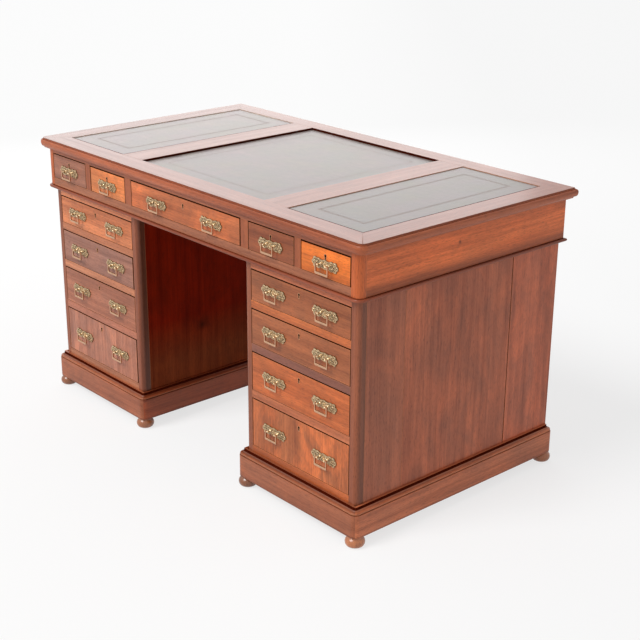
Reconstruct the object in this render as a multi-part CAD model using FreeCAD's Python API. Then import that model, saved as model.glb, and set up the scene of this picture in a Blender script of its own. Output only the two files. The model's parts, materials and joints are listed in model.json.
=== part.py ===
import FreeCAD, Part
import math
import os

# Pedestal desk in mahogany: a framed top with three leather panels, a frieze of five drawers,
# and two pedestals of four drawers, each on a moulded plinth with turned feet.
# Millimetres. Origin on the floor under the middle of the top, front towards -Y, +Z up.

# Overall size, over the nose of the top's edge and from the floor to the top
desk_width = 1366.0
desk_depth = 752.0
desk_height = 770.0

# Heights, from the floor up
foot_height = 28.0
plinth_height = 78.0
base_rail_height = 19.0
pedestal_rail_height = 21.0
pedestal_head_height = 21.0
bead_height = 9.0
frieze_base_height = 22.0
frieze_drawer_height = 73.0
frieze_head_height = 12.0
slab_thickness = 28.0

# Pedestal drawers, lowest first, as shares of the height that the rails and mouldings leave
drawer_height_shares = (134 / 417, 107 / 417, 94 / 417, 82 / 417)

# Plan of the cases, worked inwards from the edge of the top
slab_side_overhang = 24.0
slab_front_overhang = 17.0
slab_back_overhang = 17.0
pedestal_side_inset = 12.0
pedestal_front_inset = 12.0
pedestal_back_inset = 2.0
pedestal_width = 413.0
plinth_projection = 18.5
plinth_back_projection = 12.0

# Stiles and muntins between the drawer openings
frieze_stile_width = 27.0
frieze_small_opening = 172.0
frieze_muntin_width = 23.0
frieze_inner_muntin_width = 29.0
frieze_rail_depth = 22.0
pedestal_stile_width = 25.0
pedestal_stile_depth = 25.0
pedestal_rail_depth = 60.0

# Board thicknesses of the cases
frieze_end_thickness = 18.0
frieze_back_thickness = 18.0
dust_board_thickness = 10.0
pedestal_side_thickness = 18.0
pedestal_back_thickness = 12.0
pedestal_floor_thickness = 12.0

# Rounded corners of the posts
frieze_corner_radius = 17.0
pedestal_corner_radius = 13.0

# Moulded edge of the top: arris, small step, round nose, return to the soffit
slab_front_plate_radius = 8.0
slab_band = 15.0
slab_arris_inset = 8.0
slab_step_drop = 3.0
slab_step_width = 1.6
slab_nose_drop = 12.0
slab_nose_foot_drop = 23.5
slab_nose_return = 5.0
slab_soffit_inset = 9.0

# Framed top and its leather panels
border_front = 72.0
border_back = 66.0
border_side = 73.0
cross_rail_width = 88.0
centre_panel_width = 521.0
side_panel_sink = 2.0
centre_panel_sink = 6.0
leather_thickness = 2.0
leather_clearance = 0.3
tongue_reach = 7.0
tongue_thickness = 8.0
tongue_rise = 6.0

# Bead under the frieze
bead_projection = 7.0
bead_width = 46.0

# Moulded top of the plinth: flat board, bead between two quirks, then a hollow up to the ledge
plinth_plate_radius = 5.0
plinth_band = 12.0
plinth_hollow_height = 9.0
plinth_bead_height = 6.0
plinth_bead_inset = 4.0
plinth_quirk = 1.2
plinth_ledge_drop = 1.5

# Turned feet
foot_radius = 25.0
foot_base_radius = 17.0
foot_neck_radius = 18.5
foot_collar_height = 3.0
foot_inset = 20.0
foot_peg_radius = 6.0
foot_peg_length = 18.0
foot_peg_clearance = 0.3
foot_peg_end_gap = 2.0

# Runners, guides and stops
runner_width = 22.0
guide_height = 10.0
frieze_guide_height = 12.0
stop_width = 40.0
stop_depth = 18.0
stop_clearance = 2.0

# Drawers
drawer_gap = 1.2
drawer_floor_gap = 0.8
drawer_back_space = 52.0
drawer_front_thickness = 20.0
drawer_side_thickness = 10.0
drawer_back_thickness = 10.0
drawer_bottom_thickness = 6.0
drawer_bottom_rise = 8.0
drawer_groove_depth = 5.0
drawer_side_drop = 3.0
drawer_back_drop = 5.0
tail_length = 15.0
tail_pitch = 45.0
tail_flare = 2.0
tail_root_share = 0.5

# Locks and keyholes
keyhole_drop = 20.0
keyhole_radius = 2.6
keyhole_slot_width = 2.4
keyhole_length = 9.0
lock_width = 44.0
lock_head = 6.0
lock_foot = 13.0
lock_depth = 9.0

# Drop handles: pierced plate, two posts, squared bail on pins
plate_length = 90.0
plate_height = 26.0
plate_thickness = 2.0
plate_boss_width = 13.0
plate_boss_height = 2.5
post_offset = 13.8
post_width = 6.4
post_cap = 3.2
bail_gap = 0.7
bail_drop = 20.0
bail_bar = 4.6
bail_standoff = 12.0
bail_corner = 2.4
pin_radius = 1.5
pin_clearance = 0.05
pin_length = 4.8
pin_end_gap = 0.5
pedestal_handle_spacing = 187.0
frieze_handle_spacing = 236.0
frieze_handle_height = 32.0

# One overrun for every cut
overrun = 5.0

# How many flats stand for a quarter round of a profile, a rounded corner, a turned foot, and a peg or pin
quarter_flat_count = 2
corner_flat_count = 3
foot_flat_count = 12
peg_flat_count = 6

# Quarter outline of the handle plate, as shares of its half length and half height
plate_outline_shares = (
    (1.00, 0.00), (0.93, 0.54), (0.78, 0.94), (0.50, 1.00), (0.30, 0.78), (0.00, 0.90),
)
# Lozenge pierced through each wing of the plate: centre and half sizes as shares of the half plate
plate_piercing_shares = (0.70, 0.00, 0.10, 0.40)


def vector(x, y, z):
    """A point or direction."""
    return FreeCAD.Vector(x, y, z)


def box(x0, x1, y0, y1, z0, z1):
    """A board between its six faces."""
    return Part.makeBox(x1 - x0, y1 - y0, z1 - z0, vector(x0, y0, z0))


def only_solid(shape):
    """The single solid of a shape, with seams between coplanar faces taken out."""
    solids = shape.removeSplitter().Solids
    if len(solids) != 1:
        raise ValueError("expected one solid, found %d" % len(solids))
    return solids[0]


def flat_face(points):
    """A flat face inside a closed outline of points."""
    return Part.Face(Part.makePolygon(list(points) + [points[0]]))


def prism(points, z0, z1):
    """A flat-sided prism over a plan outline."""
    return flat_face([vector(x, y, z0) for x, y in points]).extrude(vector(0, 0, z1 - z0))


def front_prism(points, y0, y1):
    """A flat-sided prism over an outline drawn on the front, as (x, z)."""
    return flat_face([vector(x, y0, z) for x, z in points]).extrude(vector(0, y1 - y0, 0))


def stack(rings):
    """A solid whose skin runs from ring to ring.

    The rings have as many points each, and matching sides are parallel.
    """
    faces = [flat_face(rings[0]), flat_face(rings[-1])]
    for low, high in zip(rings, rings[1:]):
        for a, b, c, d in zip(low, low[1:] + low[:1], high[1:] + high[:1], high):
            faces.append(flat_face((a, b, c, d)))
    solid = Part.Solid(Part.Shell(faces))
    if solid.Volume < 0:
        solid.reverse()
    return solid


def quarter_round(first, last, corner):
    """Points after first on a quarter round to last that bulges towards the corner of their box."""
    points = []
    for step in range(1, quarter_flat_count + 1):
        turn = math.pi / 2 * step / quarter_flat_count
        points.append(tuple(a + b - c + (c - b) * math.cos(turn) + (c - a) * math.sin(turn)
                            for a, b, c in zip(first, last, corner)))
    return points


def polygon(flats, radius):
    """Corners of a regular polygon, turned so that its right side is upright."""
    turns = [math.pi * (2 * k + 1) / flats for k in range(flats)]
    return [(radius * math.cos(turn), radius * math.sin(turn)) for turn in turns]


def rounded_ring(x0, x1, y0, y1, front, back, z):
    """Outline of a rectangle whose corners are rounded by flats, or square where the radius is nothing."""
    corners = (
        (x1 - front, y0 + front, front, -math.pi / 2),
        (x1 - back, y1 - back, back, 0),
        (x0 + back, y1 - back, back, math.pi / 2),
        (x0 + front, y0 + front, front, math.pi),
    )
    points = []
    for x, y, radius, begin in corners:
        for step in range(corner_flat_count + 1 if radius else 1):
            turn = begin + math.pi / 2 * step / corner_flat_count
            points.append(vector(x + radius * math.cos(turn), y + radius * math.sin(turn), z))
    return points


def moulded_plate(x0, x1, y0, y1, band, front, back, profile):
    """A plate with a moulding run round its edge: x0 to y1 are the limits of the moulding's nose.

    The profile runs from bottom to top, as reach out of the plate's own edge and height.
    The plate's own corners are rounded by the radii front and back, and square at the back where back is None.
    """
    rings = []
    for reach, z in profile:
        rings.append(rounded_ring(x0 + band - reach, x1 - band + reach, y0 + band - reach, y1 - band + reach,
                                  front + reach, 0 if back is None else back + reach, z))
    return stack(rings)


def mitred_frame(ring, outer, inner, z0, z1):
    """Four boards of a ring, parted along the lines from its outer to its inner corners."""
    (ax0, ax1, ay0, ay1), (bx0, bx1, by0, by1) = outer, inner
    boards = (
        ((ax0, ay0), (ax1, ay0), (bx1, by0), (bx0, by0)),
        ((ax1, ay0), (ax1, ay1), (bx1, by1), (bx1, by0)),
        ((ax1, ay1), (ax0, ay1), (bx0, by1), (bx1, by1)),
        ((ax0, ay1), (ax0, ay0), (bx0, by0), (bx0, by1)),
    )
    return [only_solid(ring.common(prism(board, z0, z1))) for board in boards]


def corner_post(x0, x1, y0, y1, z0, z1, radius, rounded_left):
    """An upright with its outer front corner rounded."""
    points = [(x1, y0), (x1, y1), (x0, y1)]
    for step in range(corner_flat_count + 1):
        turn = math.pi / 2 * step / corner_flat_count
        points.append((x0 + radius - radius * math.cos(turn), y0 + radius - radius * math.sin(turn)))
    if not rounded_left:
        points = [(x0 + x1 - x, y) for x, y in points]
    return prism(points, z0, z1)


def save(name, solids):
    """Write one piece, or a group of like pieces, to its own file."""
    for solid in solids:
        if not solid.isValid() or solid.Volume <= 0:
            raise ValueError("bad solid in " + name)
    Part.makeCompound(solids).exportStep("parts/" + name + ".step")
    print(name, len(solids))


# Levels
slab_bottom = desk_height - slab_thickness
frieze_ceiling = slab_bottom - frieze_head_height
frieze_floor = frieze_ceiling - frieze_drawer_height
bead_top = frieze_floor - frieze_base_height
pedestal_top = bead_top - bead_height
plinth_top = foot_height + plinth_height
pedestal_floor = plinth_top + base_rail_height
rails_between = pedestal_rail_height * (len(drawer_height_shares) - 1)
drawers_height = pedestal_top - pedestal_head_height - pedestal_floor - rails_between
pedestal_openings = []
level = pedestal_floor
for share in drawer_height_shares:
    pedestal_openings.append((level, level + drawers_height * share))
    level = level + drawers_height * share + pedestal_rail_height

# Plan
slab_x = desk_width / 2
slab_front = -desk_depth / 2
slab_back = desk_depth / 2
frieze_x = slab_x - slab_side_overhang
frieze_front = slab_front + slab_front_overhang
frieze_back = slab_back - slab_back_overhang
pedestal_outer_x = frieze_x - pedestal_side_inset
pedestal_inner_x = pedestal_outer_x - pedestal_width
pedestal_front = frieze_front + pedestal_front_inset
pedestal_back = frieze_back - pedestal_back_inset
plinth_front = pedestal_front - plinth_projection
plinth_back = pedestal_back + plinth_back_projection
pedestal_sides = (("left", -pedestal_outer_x, -pedestal_inner_x), ("right", pedestal_inner_x, pedestal_outer_x))


# Framed top
def slab_profile():
    """Edge of the top, from the soffit up to the flat."""
    arris = slab_band - slab_arris_inset
    step = (arris + slab_step_width, desk_height - slab_step_drop)
    nose = (slab_band, desk_height - slab_nose_drop)
    nose_foot = (slab_band - slab_nose_return, desk_height - slab_nose_foot_drop)
    soffit = (slab_band - slab_soffit_inset, slab_bottom)
    profile = [soffit]
    profile += quarter_round(soffit, nose_foot, (soffit[0], nose_foot[1]))
    profile += quarter_round(nose_foot, nose, (nose[0], nose_foot[1]))
    profile += quarter_round(nose, step, (nose[0], step[1]))
    return profile + [(arris, step[1]), (arris, desk_height)]


panel_front = slab_front + border_front
panel_back = slab_back - border_back
panel_side_x = slab_x - border_side
centre_x = centre_panel_width / 2
panels = (
    (-panel_side_x, -centre_x - cross_rail_width, side_panel_sink),
    (-centre_x, centre_x, centre_panel_sink),
    (centre_x + cross_rail_width, panel_side_x, side_panel_sink),
)


def build_top():
    """Mitred border, two cross rails, three tongued grounds and three leather panels."""
    slab = moulded_plate(-slab_x, slab_x, slab_front, slab_back, slab_band,
                         slab_front_plate_radius, None, slab_profile())
    grounds = []
    leathers = []
    tongue_low = slab_bottom + tongue_rise
    for x0, x1, sink in panels:
        leather_bottom = desk_height - sink - leather_thickness
        ground = box(x0, x1, panel_front, panel_back, slab_bottom, leather_bottom)
        tongue = box(x0 - tongue_reach, x1 + tongue_reach, panel_front - tongue_reach,
                     panel_back + tongue_reach, tongue_low, tongue_low + tongue_thickness)
        grounds.append(only_solid(ground.fuse(tongue)))
        leathers.append(box(x0 + leather_clearance, x1 - leather_clearance, panel_front + leather_clearance,
                            panel_back - leather_clearance, leather_bottom, leather_bottom + leather_thickness))
        slab = slab.cut(box(x0, x1, panel_front, panel_back, slab_bottom - overrun, desk_height + overrun))
        slab = slab.cut(tongue)
    outer = (-slab_x, slab_x, slab_front, slab_back)
    inner = (-panel_side_x, panel_side_x, panel_front, panel_back)
    low, high = slab_bottom - overrun, desk_height + overrun
    members = mitred_frame(slab, outer, inner, low, high)
    for x0, x1 in ((-centre_x - cross_rail_width, -centre_x), (centre_x, centre_x + cross_rail_width)):
        members.append(only_solid(slab.common(box(x0, x1, panel_front, panel_back, low, high))))
    save("top_frame", members + grounds)
    save("leather_panels", leathers)


# Frieze
stile_x = frieze_x - frieze_stile_width
small_outer = (stile_x - frieze_small_opening, stile_x)
small_inner_end = small_outer[0] - frieze_muntin_width
small_inner = (small_inner_end - frieze_small_opening, small_inner_end)
long_x = small_inner[0] - frieze_inner_muntin_width
frieze_openings = (
    (-small_outer[1], -small_outer[0]),
    (-small_inner[1], -small_inner[0]),
    (-long_x, long_x),
    small_inner,
    small_outer,
)
frieze_rail_back = frieze_front + frieze_rail_depth
frieze_inside_back = frieze_back - frieze_back_thickness
frieze_end_x = frieze_x - frieze_end_thickness


def build_frieze():
    """Ends, back, corner posts, rails, muntins, dust board, guides, kickers and stops."""
    post_back = frieze_rail_back
    case = [box(-frieze_end_x, frieze_end_x, frieze_inside_back, frieze_back, bead_top, slab_bottom)]
    case.append(box(-frieze_x, -frieze_end_x, post_back, frieze_back, bead_top, slab_bottom))
    case.append(box(frieze_end_x, frieze_x, post_back, frieze_back, bead_top, slab_bottom))
    for x0, x1, at_left in ((-frieze_x, -stile_x, True), (stile_x, frieze_x, False)):
        case.append(corner_post(x0, x1, frieze_front, post_back, bead_top, slab_bottom,
                                frieze_corner_radius, at_left))
    save("frieze_case", case)

    rails = [box(-stile_x, stile_x, frieze_front, frieze_rail_back, bead_top, frieze_floor)]
    rails.append(box(-stile_x, stile_x, frieze_front, frieze_rail_back, frieze_ceiling, slab_bottom))
    rails.append(box(-frieze_end_x, frieze_end_x, post_back, frieze_inside_back,
                     frieze_floor - dust_board_thickness, frieze_floor))
    between = [(-frieze_end_x, -stile_x)]
    for here, after in zip(frieze_openings, frieze_openings[1:]):
        between.append((here[1], after[0]))
        rails.append(box(here[1], after[0], frieze_front, frieze_rail_back, frieze_floor, frieze_ceiling))
    between.append((stile_x, frieze_end_x))
    for x0, x1 in between:
        rails.append(box(x0, x1, post_back, frieze_inside_back,
                         frieze_floor, frieze_floor + frieze_guide_height))
        rails.append(box(x0, x1, post_back, frieze_inside_back, frieze_ceiling, slab_bottom))
    for x0, x1 in frieze_openings:
        rails.extend(drawer_stops(x0, x1, frieze_floor, frieze_front))
    save("frieze_rails", rails)


def drawer_stops(x0, x1, floor, face):
    """Two blocks behind a drawer front, each a quarter of the way in, that stop it closing too far."""
    y0 = face + drawer_front_thickness
    top = floor + drawer_bottom_rise - stop_clearance
    blocks = []
    for centre in (x0 + (x1 - x0) / 4, x1 - (x1 - x0) / 4):
        blocks.append(box(centre - stop_width / 2, centre + stop_width / 2, y0, y0 + stop_depth,
                          floor, top))
    return blocks


def build_bead():
    """Half-round bead in four mitred lengths between the frieze and the pedestals."""
    half = bead_height / 2
    low, nose, high = (0, pedestal_top), (half, pedestal_top + half), (0, bead_top)
    profile = [low] + quarter_round(low, nose, (half, pedestal_top))
    profile += quarter_round(nose, high, (half, bead_top))
    outer = (-frieze_x - bead_projection, frieze_x + bead_projection,
             frieze_front - bead_projection, frieze_back + bead_projection)
    inner = (outer[0] + bead_width, outer[1] - bead_width, outer[2] + bead_width, outer[3] - bead_width)
    front_radius = frieze_corner_radius + bead_projection - half
    plate = moulded_plate(*outer, half, front_radius, None, profile)
    ring = plate.cut(box(*inner, pedestal_top - overrun, bead_top + overrun))
    save("frieze_bead", mitred_frame(ring, outer, inner, pedestal_top - overrun, bead_top + overrun))


# Pedestals
pedestal_rail_back = pedestal_front + pedestal_rail_depth
pedestal_inside_back = pedestal_back - pedestal_back_thickness


def foot_centres(x0, x1):
    """Centres of the four feet of one pedestal."""
    xs = (x0 - plinth_projection + foot_inset, x1 + plinth_projection - foot_inset)
    ys = (plinth_front + foot_inset, plinth_back - foot_inset)
    return [(x, y) for x in xs for y in ys]


def peg(x, y, radius, z0, z1):
    """A peg, or the hole for one, with a foot's centre as its axis."""
    return prism([(x + u, y + v) for u, v in polygon(peg_flat_count, radius)], z0, z1)


def peg_holes(x0, x1):
    """Holes for the feet's pegs, bored up through whatever stands over them."""
    top = foot_height + foot_peg_length + foot_peg_end_gap
    radius = foot_peg_radius + foot_peg_clearance
    return [peg(x, y, radius, foot_height - overrun, top) for x, y in foot_centres(x0, x1)]


def build_pedestal(side, x0, x1):
    """Posts, sides, back and top of one pedestal, its rails and runners, and its plinth."""
    inside0, inside1 = x0 + pedestal_side_thickness, x1 - pedestal_side_thickness
    stile0, stile1 = x0 + pedestal_stile_width, x1 - pedestal_stile_width
    post_back = pedestal_front + pedestal_stile_depth
    holes = peg_holes(x0, x1)
    posts = []
    for a, b, at_left in ((x0, stile0, True), (stile1, x1, False)):
        shaft = corner_post(a, b, pedestal_front, post_back, plinth_top, pedestal_top,
                            pedestal_corner_radius, at_left)
        foot = box(a, b, pedestal_front, post_back, foot_height, plinth_top)
        posts.append(shaft.fuse(foot))
    sides = [box(x0, inside0, post_back, pedestal_back, foot_height, pedestal_top)]
    sides.append(box(inside1, x1, post_back, pedestal_back, foot_height, pedestal_top))
    case = [only_solid(piece.cut(holes)) for piece in posts + sides]
    case.append(box(inside0, inside1, pedestal_inside_back, pedestal_back, foot_height, pedestal_top))
    case.append(box(stile0, stile1, pedestal_rail_back, pedestal_inside_back,
                    pedestal_openings[-1][1], pedestal_top))
    case.append(box(stile0, stile1, pedestal_rail_back, pedestal_inside_back,
                    pedestal_floor - pedestal_floor_thickness, pedestal_floor))
    save(side + "_pedestal_case", case)

    rails = []
    rail_levels = [(plinth_top, pedestal_floor)]
    for here, after in zip(pedestal_openings, pedestal_openings[1:]):
        rail_levels.append((here[1], after[0]))
    rail_levels.append((pedestal_openings[-1][1], pedestal_top))
    for z0, z1 in rail_levels:
        rails.append(box(stile0, stile1, pedestal_front, pedestal_rail_back, z0, z1))
    for z0, z1 in rail_levels[1:-1]:
        for a, b in ((stile0, stile0 + runner_width), (stile1 - runner_width, stile1)):
            rails.append(box(a, b, pedestal_rail_back, pedestal_inside_back, z0, z1))
    for z0, z1 in rail_levels[:-1]:
        for a, b in ((inside0, stile0), (stile1, inside1)):
            rails.append(box(a, b, post_back, pedestal_inside_back, z0, z1 + guide_height))
    for a, b in ((inside0, stile0), (stile1, inside1)):
        rails.append(box(a, b, post_back, pedestal_inside_back, pedestal_openings[-1][1], pedestal_top))
    for z0, z1 in pedestal_openings:
        rails.extend(drawer_stops(stile0, stile1, z0, pedestal_front))
    save(side + "_pedestal_rails", rails)
    build_plinth(side, x0, x1, holes)


def build_plinth(side, x0, x1, holes):
    """Four mitred boards round the foot of a pedestal, with a moulded top edge."""
    outer = (x0 - plinth_projection, x1 + plinth_projection, plinth_front, plinth_back)
    pocket = (x0, x1, pedestal_front, pedestal_back)
    hollow_foot = plinth_top - plinth_ledge_drop - plinth_hollow_height
    bead_foot = hollow_foot - plinth_bead_height
    bead_face = plinth_band - plinth_quirk
    bead_root = plinth_band - plinth_bead_inset
    bead_start = (bead_root, bead_foot)
    bead_middle = (bead_face, hollow_foot - plinth_bead_height / 2)
    hollow_start = (bead_root, hollow_foot)
    ledge = (0, plinth_top - plinth_ledge_drop)
    profile = [(plinth_band, foot_height), (plinth_band, bead_foot - plinth_quirk), bead_start]
    profile += quarter_round(bead_start, bead_middle, (bead_face, bead_foot))
    profile += quarter_round(bead_middle, hollow_start, (bead_face, hollow_foot))
    profile += quarter_round(hollow_start, ledge, (0, hollow_foot))
    profile.append((0, plinth_top))
    plate = moulded_plate(*outer, plinth_band, plinth_plate_radius, plinth_plate_radius, profile)
    ring = plate.cut(box(*pocket, foot_height - overrun, plinth_top + overrun)).cut(holes)
    save(side + "_plinth", mitred_frame(ring, outer, pocket, foot_height - overrun, plinth_top + overrun))


def build_feet():
    """Eight turned bun feet, each with a peg into the plinth and post above it."""
    collar = foot_height - foot_collar_height
    base = (foot_base_radius, 0)
    widest = (foot_radius, collar / 2)
    neck = (foot_neck_radius, collar)
    profile = [base] + quarter_round(base, widest, (foot_radius, 0))
    profile += quarter_round(widest, neck, (foot_radius, collar)) + [(foot_neck_radius, foot_height)]
    rings = []
    for radius, z in profile:
        rings.append([vector(u, v, z) for u, v in polygon(foot_flat_count, radius)])
    bun = stack(rings)
    feet = []
    for side, x0, x1 in pedestal_sides:
        for x, y in foot_centres(x0, x1):
            shaft = peg(x, y, foot_peg_radius, foot_height - foot_collar_height, foot_height + foot_peg_length)
            feet.append(only_solid(bun.translated(vector(x, y, 0)).fuse(shaft)))
    save("bun_feet", feet)


# Drop handle, drawn about the middle of its plate on the face of a drawer front
def plate_outline():
    """Quarter outline of the plate mirrored to all four quarters."""
    half_length, half_height = plate_length / 2, plate_height / 2
    quarter = [(x * half_length, z * half_height) for x, z in plate_outline_shares]
    half = quarter + [(-x, z) for x, z in reversed(quarter[:-1])]
    return half + [(-x, -z) for x, z in half[1:-1]]


def pin(sign, radius, x0, length):
    """A pin, or the bore for one, on the bail's axis, from x0 towards the middle of the handle."""
    corners = [vector(sign * x0, u - bail_standoff, v) for u, v in polygon(peg_flat_count, radius)]
    return flat_face(corners).extrude(vector(-sign * length, 0, 0))


def make_plate():
    """Pierced plate with a raised diamond boss, cast in one with the two posts that carry the bail."""
    half_length, half_height = plate_length / 2, plate_height / 2
    plate = front_prism(plate_outline(), 0, -plate_thickness)
    cx, cz, rx, rz = plate_piercing_shares
    a, b = rx * half_length, rz * half_height
    for sign in (-1, 1):
        x, z = sign * cx * half_length, cz * half_height
        lozenge = ((x - a, z), (x, z - b), (x + a, z), (x, z + b))
        plate = plate.cut(front_prism(lozenge, overrun, -plate_thickness - overrun))
    half_boss = plate_boss_width / 2
    rim = [vector(-half_boss, -plate_thickness, 0), vector(0, -plate_thickness, -half_boss),
           vector(half_boss, -plate_thickness, 0), vector(0, -plate_thickness, half_boss)]
    tip = vector(0, -plate_thickness - plate_boss_height, 0)
    faces = [flat_face(rim)]
    for a, b in zip(rim, rim[1:] + rim[:1]):
        faces.append(flat_face((a, b, tip)))
    boss = Part.Solid(Part.Shell(faces))
    if boss.Volume < 0:
        boss.reverse()
    pieces = [boss]
    half = post_width / 2
    for sign in (-1, 1):
        x = sign * post_offset
        head = box(x - half, x + half, -bail_standoff - post_cap, -plate_thickness, -half, half)
        bore_radius = (pin_radius + pin_clearance) / math.cos(math.pi / peg_flat_count)
        bore = pin(sign, bore_radius, post_offset + half, pin_length - bail_gap + pin_end_gap)
        pieces.append(head.cut(bore))
    return only_solid(plate.multiFuse(pieces))


def make_bail():
    """Squared bail hanging on two pins, its lower corners cut off."""
    half = bail_bar / 2
    outside, inside = bail_half_width + half, bail_half_width - half
    low, high = -bail_drop - half, -bail_drop + half
    points = (
        (-outside, half), (-outside, low + bail_corner), (-outside + bail_corner, low),
        (outside - bail_corner, low), (outside, low + bail_corner), (outside, half),
        (inside, half), (inside, high), (-inside, high), (-inside, half),
    )
    bow = front_prism(points, -bail_standoff - half, -bail_standoff + half)
    return only_solid(bow.multiFuse([pin(sign, pin_radius, inside, pin_length) for sign in (-1, 1)]))


# The bail's legs stand just clear of the posts
bail_half_width = post_offset + post_width / 2 + bail_gap + bail_bar / 2
handle_plate = make_plate()
handle_bail = make_bail()


# Drawers
def keyhole(x, z, y0, y1):
    """Flat-sided eye and tapered tail of a keyhole between two depths."""
    half = keyhole_slot_width / 2
    eye = keyhole_radius
    foot = eye - keyhole_length
    points = ((-half, foot), (half, foot), (eye, 0), (half, eye), (-half, eye), (-eye, 0))
    return front_prism([(x + u, z + w) for u, w in points], y0, y1)


def dovetails(x0, y_root, z0, z1):
    """Tails on the front end of a drawer side, as many as its height holds."""
    count = max(2, round((z1 - z0) / tail_pitch))
    pitch = (z1 - z0) / count
    tails = []
    for index in range(count):
        middle = z0 + pitch * (index + 0.5)
        root = pitch * tail_root_share / 2
        tip = root + tail_flare
        corners = [vector(x0, y_root, middle - root), vector(x0, y_root - tail_length, middle - tip),
                   vector(x0, y_root - tail_length, middle + tip), vector(x0, y_root, middle + root)]
        face = Part.Face(Part.makePolygon(corners + corners[:1]))
        tails.append(face.extrude(vector(drawer_side_thickness, 0, 0)))
    return tails


def make_drawer(name, opening, floor, ceiling, face, inside_back, handles):
    """Dovetailed drawer that fills its opening, with its lock, handle plates and bails."""
    x0, x1 = opening[0] + drawer_gap, opening[1] - drawer_gap
    y_root = face + drawer_front_thickness
    y_end = inside_back - drawer_back_space
    side_top = ceiling - drawer_gap - drawer_side_drop
    bottom0 = floor + drawer_bottom_rise
    bottom1 = bottom0 + drawer_bottom_thickness
    left, right = x0 + drawer_side_thickness, x1 - drawer_side_thickness
    bottom = box(left - drawer_groove_depth, right + drawer_groove_depth, y_root, y_end, bottom0, bottom1)
    tongue = box(left + drawer_groove_depth, right - drawer_groove_depth, y_root - drawer_groove_depth, y_root,
                 bottom0, bottom1)
    bottom = only_solid(bottom.fuse(tongue))
    sides = []
    all_tails = []
    for side_x in (x0, right):
        tails = dovetails(side_x, y_root, floor, side_top)
        all_tails.extend(tails)
        board = box(side_x, side_x + drawer_side_thickness, y_root, y_end, floor, side_top)
        sides.append(only_solid(board.multiFuse(tails).cut(bottom)))
    back = box(left, right, y_end - drawer_back_thickness, y_end, bottom1, side_top - drawer_back_drop)

    key_x = (opening[0] + opening[1]) / 2
    key_z = ceiling - keyhole_drop
    lock = box(key_x - lock_width / 2, key_x + lock_width / 2, y_root - lock_depth, y_root,
               key_z - lock_foot, ceiling - drawer_gap - lock_head)
    keyway = keyhole(key_x, key_z, face - overrun, y_root - lock_depth)
    front = box(x0, x1, face, y_root, floor + drawer_floor_gap, ceiling - drawer_gap)
    fittings = [lock]
    for suffix, x, z in handles:
        place = vector(x, face, z)
        fittings.append(handle_plate.translated(place))
        save("bail_" + name + suffix, [handle_bail.translated(place)])
    front = front.cut(all_tails)
    for piece in (bottom, lock, keyway):
        front = front.cut(piece)
    front = only_solid(front)
    save("drawer_" + name, [front] + sides + [back, bottom])
    save("fittings_" + name, fittings)


drawers = []
for number, opening in enumerate(frieze_openings, start=1):
    middle = (opening[0] + opening[1]) / 2
    handle_z = frieze_floor + frieze_handle_height
    if opening[1] - opening[0] > frieze_handle_spacing:
        places = [("_left", middle - frieze_handle_spacing / 2, handle_z),
                  ("_right", middle + frieze_handle_spacing / 2, handle_z)]
    else:
        places = [("", middle, handle_z)]
    drawers.append(("frieze_%d" % number, opening, frieze_floor, frieze_ceiling, frieze_front,
                    frieze_inside_back, places))
for side, x0, x1 in pedestal_sides:
    for number, (z0, z1) in enumerate(reversed(pedestal_openings), start=1):
        middle = (x0 + x1) / 2
        places = [("_left", middle - pedestal_handle_spacing / 2, (z0 + z1) / 2),
                  ("_right", middle + pedestal_handle_spacing / 2, (z0 + z1) / 2)]
        drawers.append(("%s_%d" % (side, number), (x0 + pedestal_stile_width, x1 - pedestal_stile_width),
                        z0, z1, pedestal_front, pedestal_inside_back, places))


os.makedirs("parts", exist_ok=True)
build_top()
build_frieze()
build_bead()
for side, x0, x1 in pedestal_sides:
    build_pedestal(side, x0, x1)
build_feet()
for drawer in drawers:
    make_drawer(*drawer)
print("size", desk_width, desk_depth, desk_height)
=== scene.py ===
import json
import math

import bmesh
import bpy
from mathutils import Matrix, Quaternion, Vector

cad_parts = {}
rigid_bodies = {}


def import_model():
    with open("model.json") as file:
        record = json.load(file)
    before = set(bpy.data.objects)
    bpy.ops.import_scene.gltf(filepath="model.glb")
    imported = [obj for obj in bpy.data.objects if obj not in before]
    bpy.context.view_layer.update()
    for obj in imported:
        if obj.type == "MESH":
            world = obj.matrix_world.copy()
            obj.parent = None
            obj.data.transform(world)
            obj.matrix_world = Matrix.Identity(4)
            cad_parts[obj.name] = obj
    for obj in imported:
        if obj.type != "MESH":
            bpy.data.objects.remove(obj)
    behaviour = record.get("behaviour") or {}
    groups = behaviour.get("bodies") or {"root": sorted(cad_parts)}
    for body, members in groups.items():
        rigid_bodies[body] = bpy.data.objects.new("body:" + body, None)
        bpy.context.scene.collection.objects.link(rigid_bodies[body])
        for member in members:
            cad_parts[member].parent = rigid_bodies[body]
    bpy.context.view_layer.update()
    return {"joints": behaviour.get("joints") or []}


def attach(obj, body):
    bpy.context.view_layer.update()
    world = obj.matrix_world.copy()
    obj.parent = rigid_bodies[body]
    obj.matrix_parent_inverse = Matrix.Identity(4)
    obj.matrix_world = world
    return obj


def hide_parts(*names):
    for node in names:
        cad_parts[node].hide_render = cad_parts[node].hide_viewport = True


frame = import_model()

bl_info = {
    "name": "Pedestal desk",
    "version": (1, 0, 0),
    "blender": (4, 5, 0),
    "location": "3D View > Sidebar > Desk",
    "description": "Finishes the pedestal desk: joinery, leathers, handles, materials and a plain studio",
    "category": "Object",
}


def linear(code):
    """Linear colour of an sRGB hex value."""
    values = [int(code[place:place + 2], 16) / 255 for place in (1, 3, 5)]
    return tuple(value / 12.92 if value <= 0.04045 else ((value + 0.055) / 1.055) ** 2.4 for value in values)


def colour(name, description, code):
    """Colour property with an sRGB hex value as its default."""
    return bpy.props.FloatVectorProperty(name=name, description=description, subtype="COLOR", size=3,
                                         min=0.0, max=1.0, default=linear(code))


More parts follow.
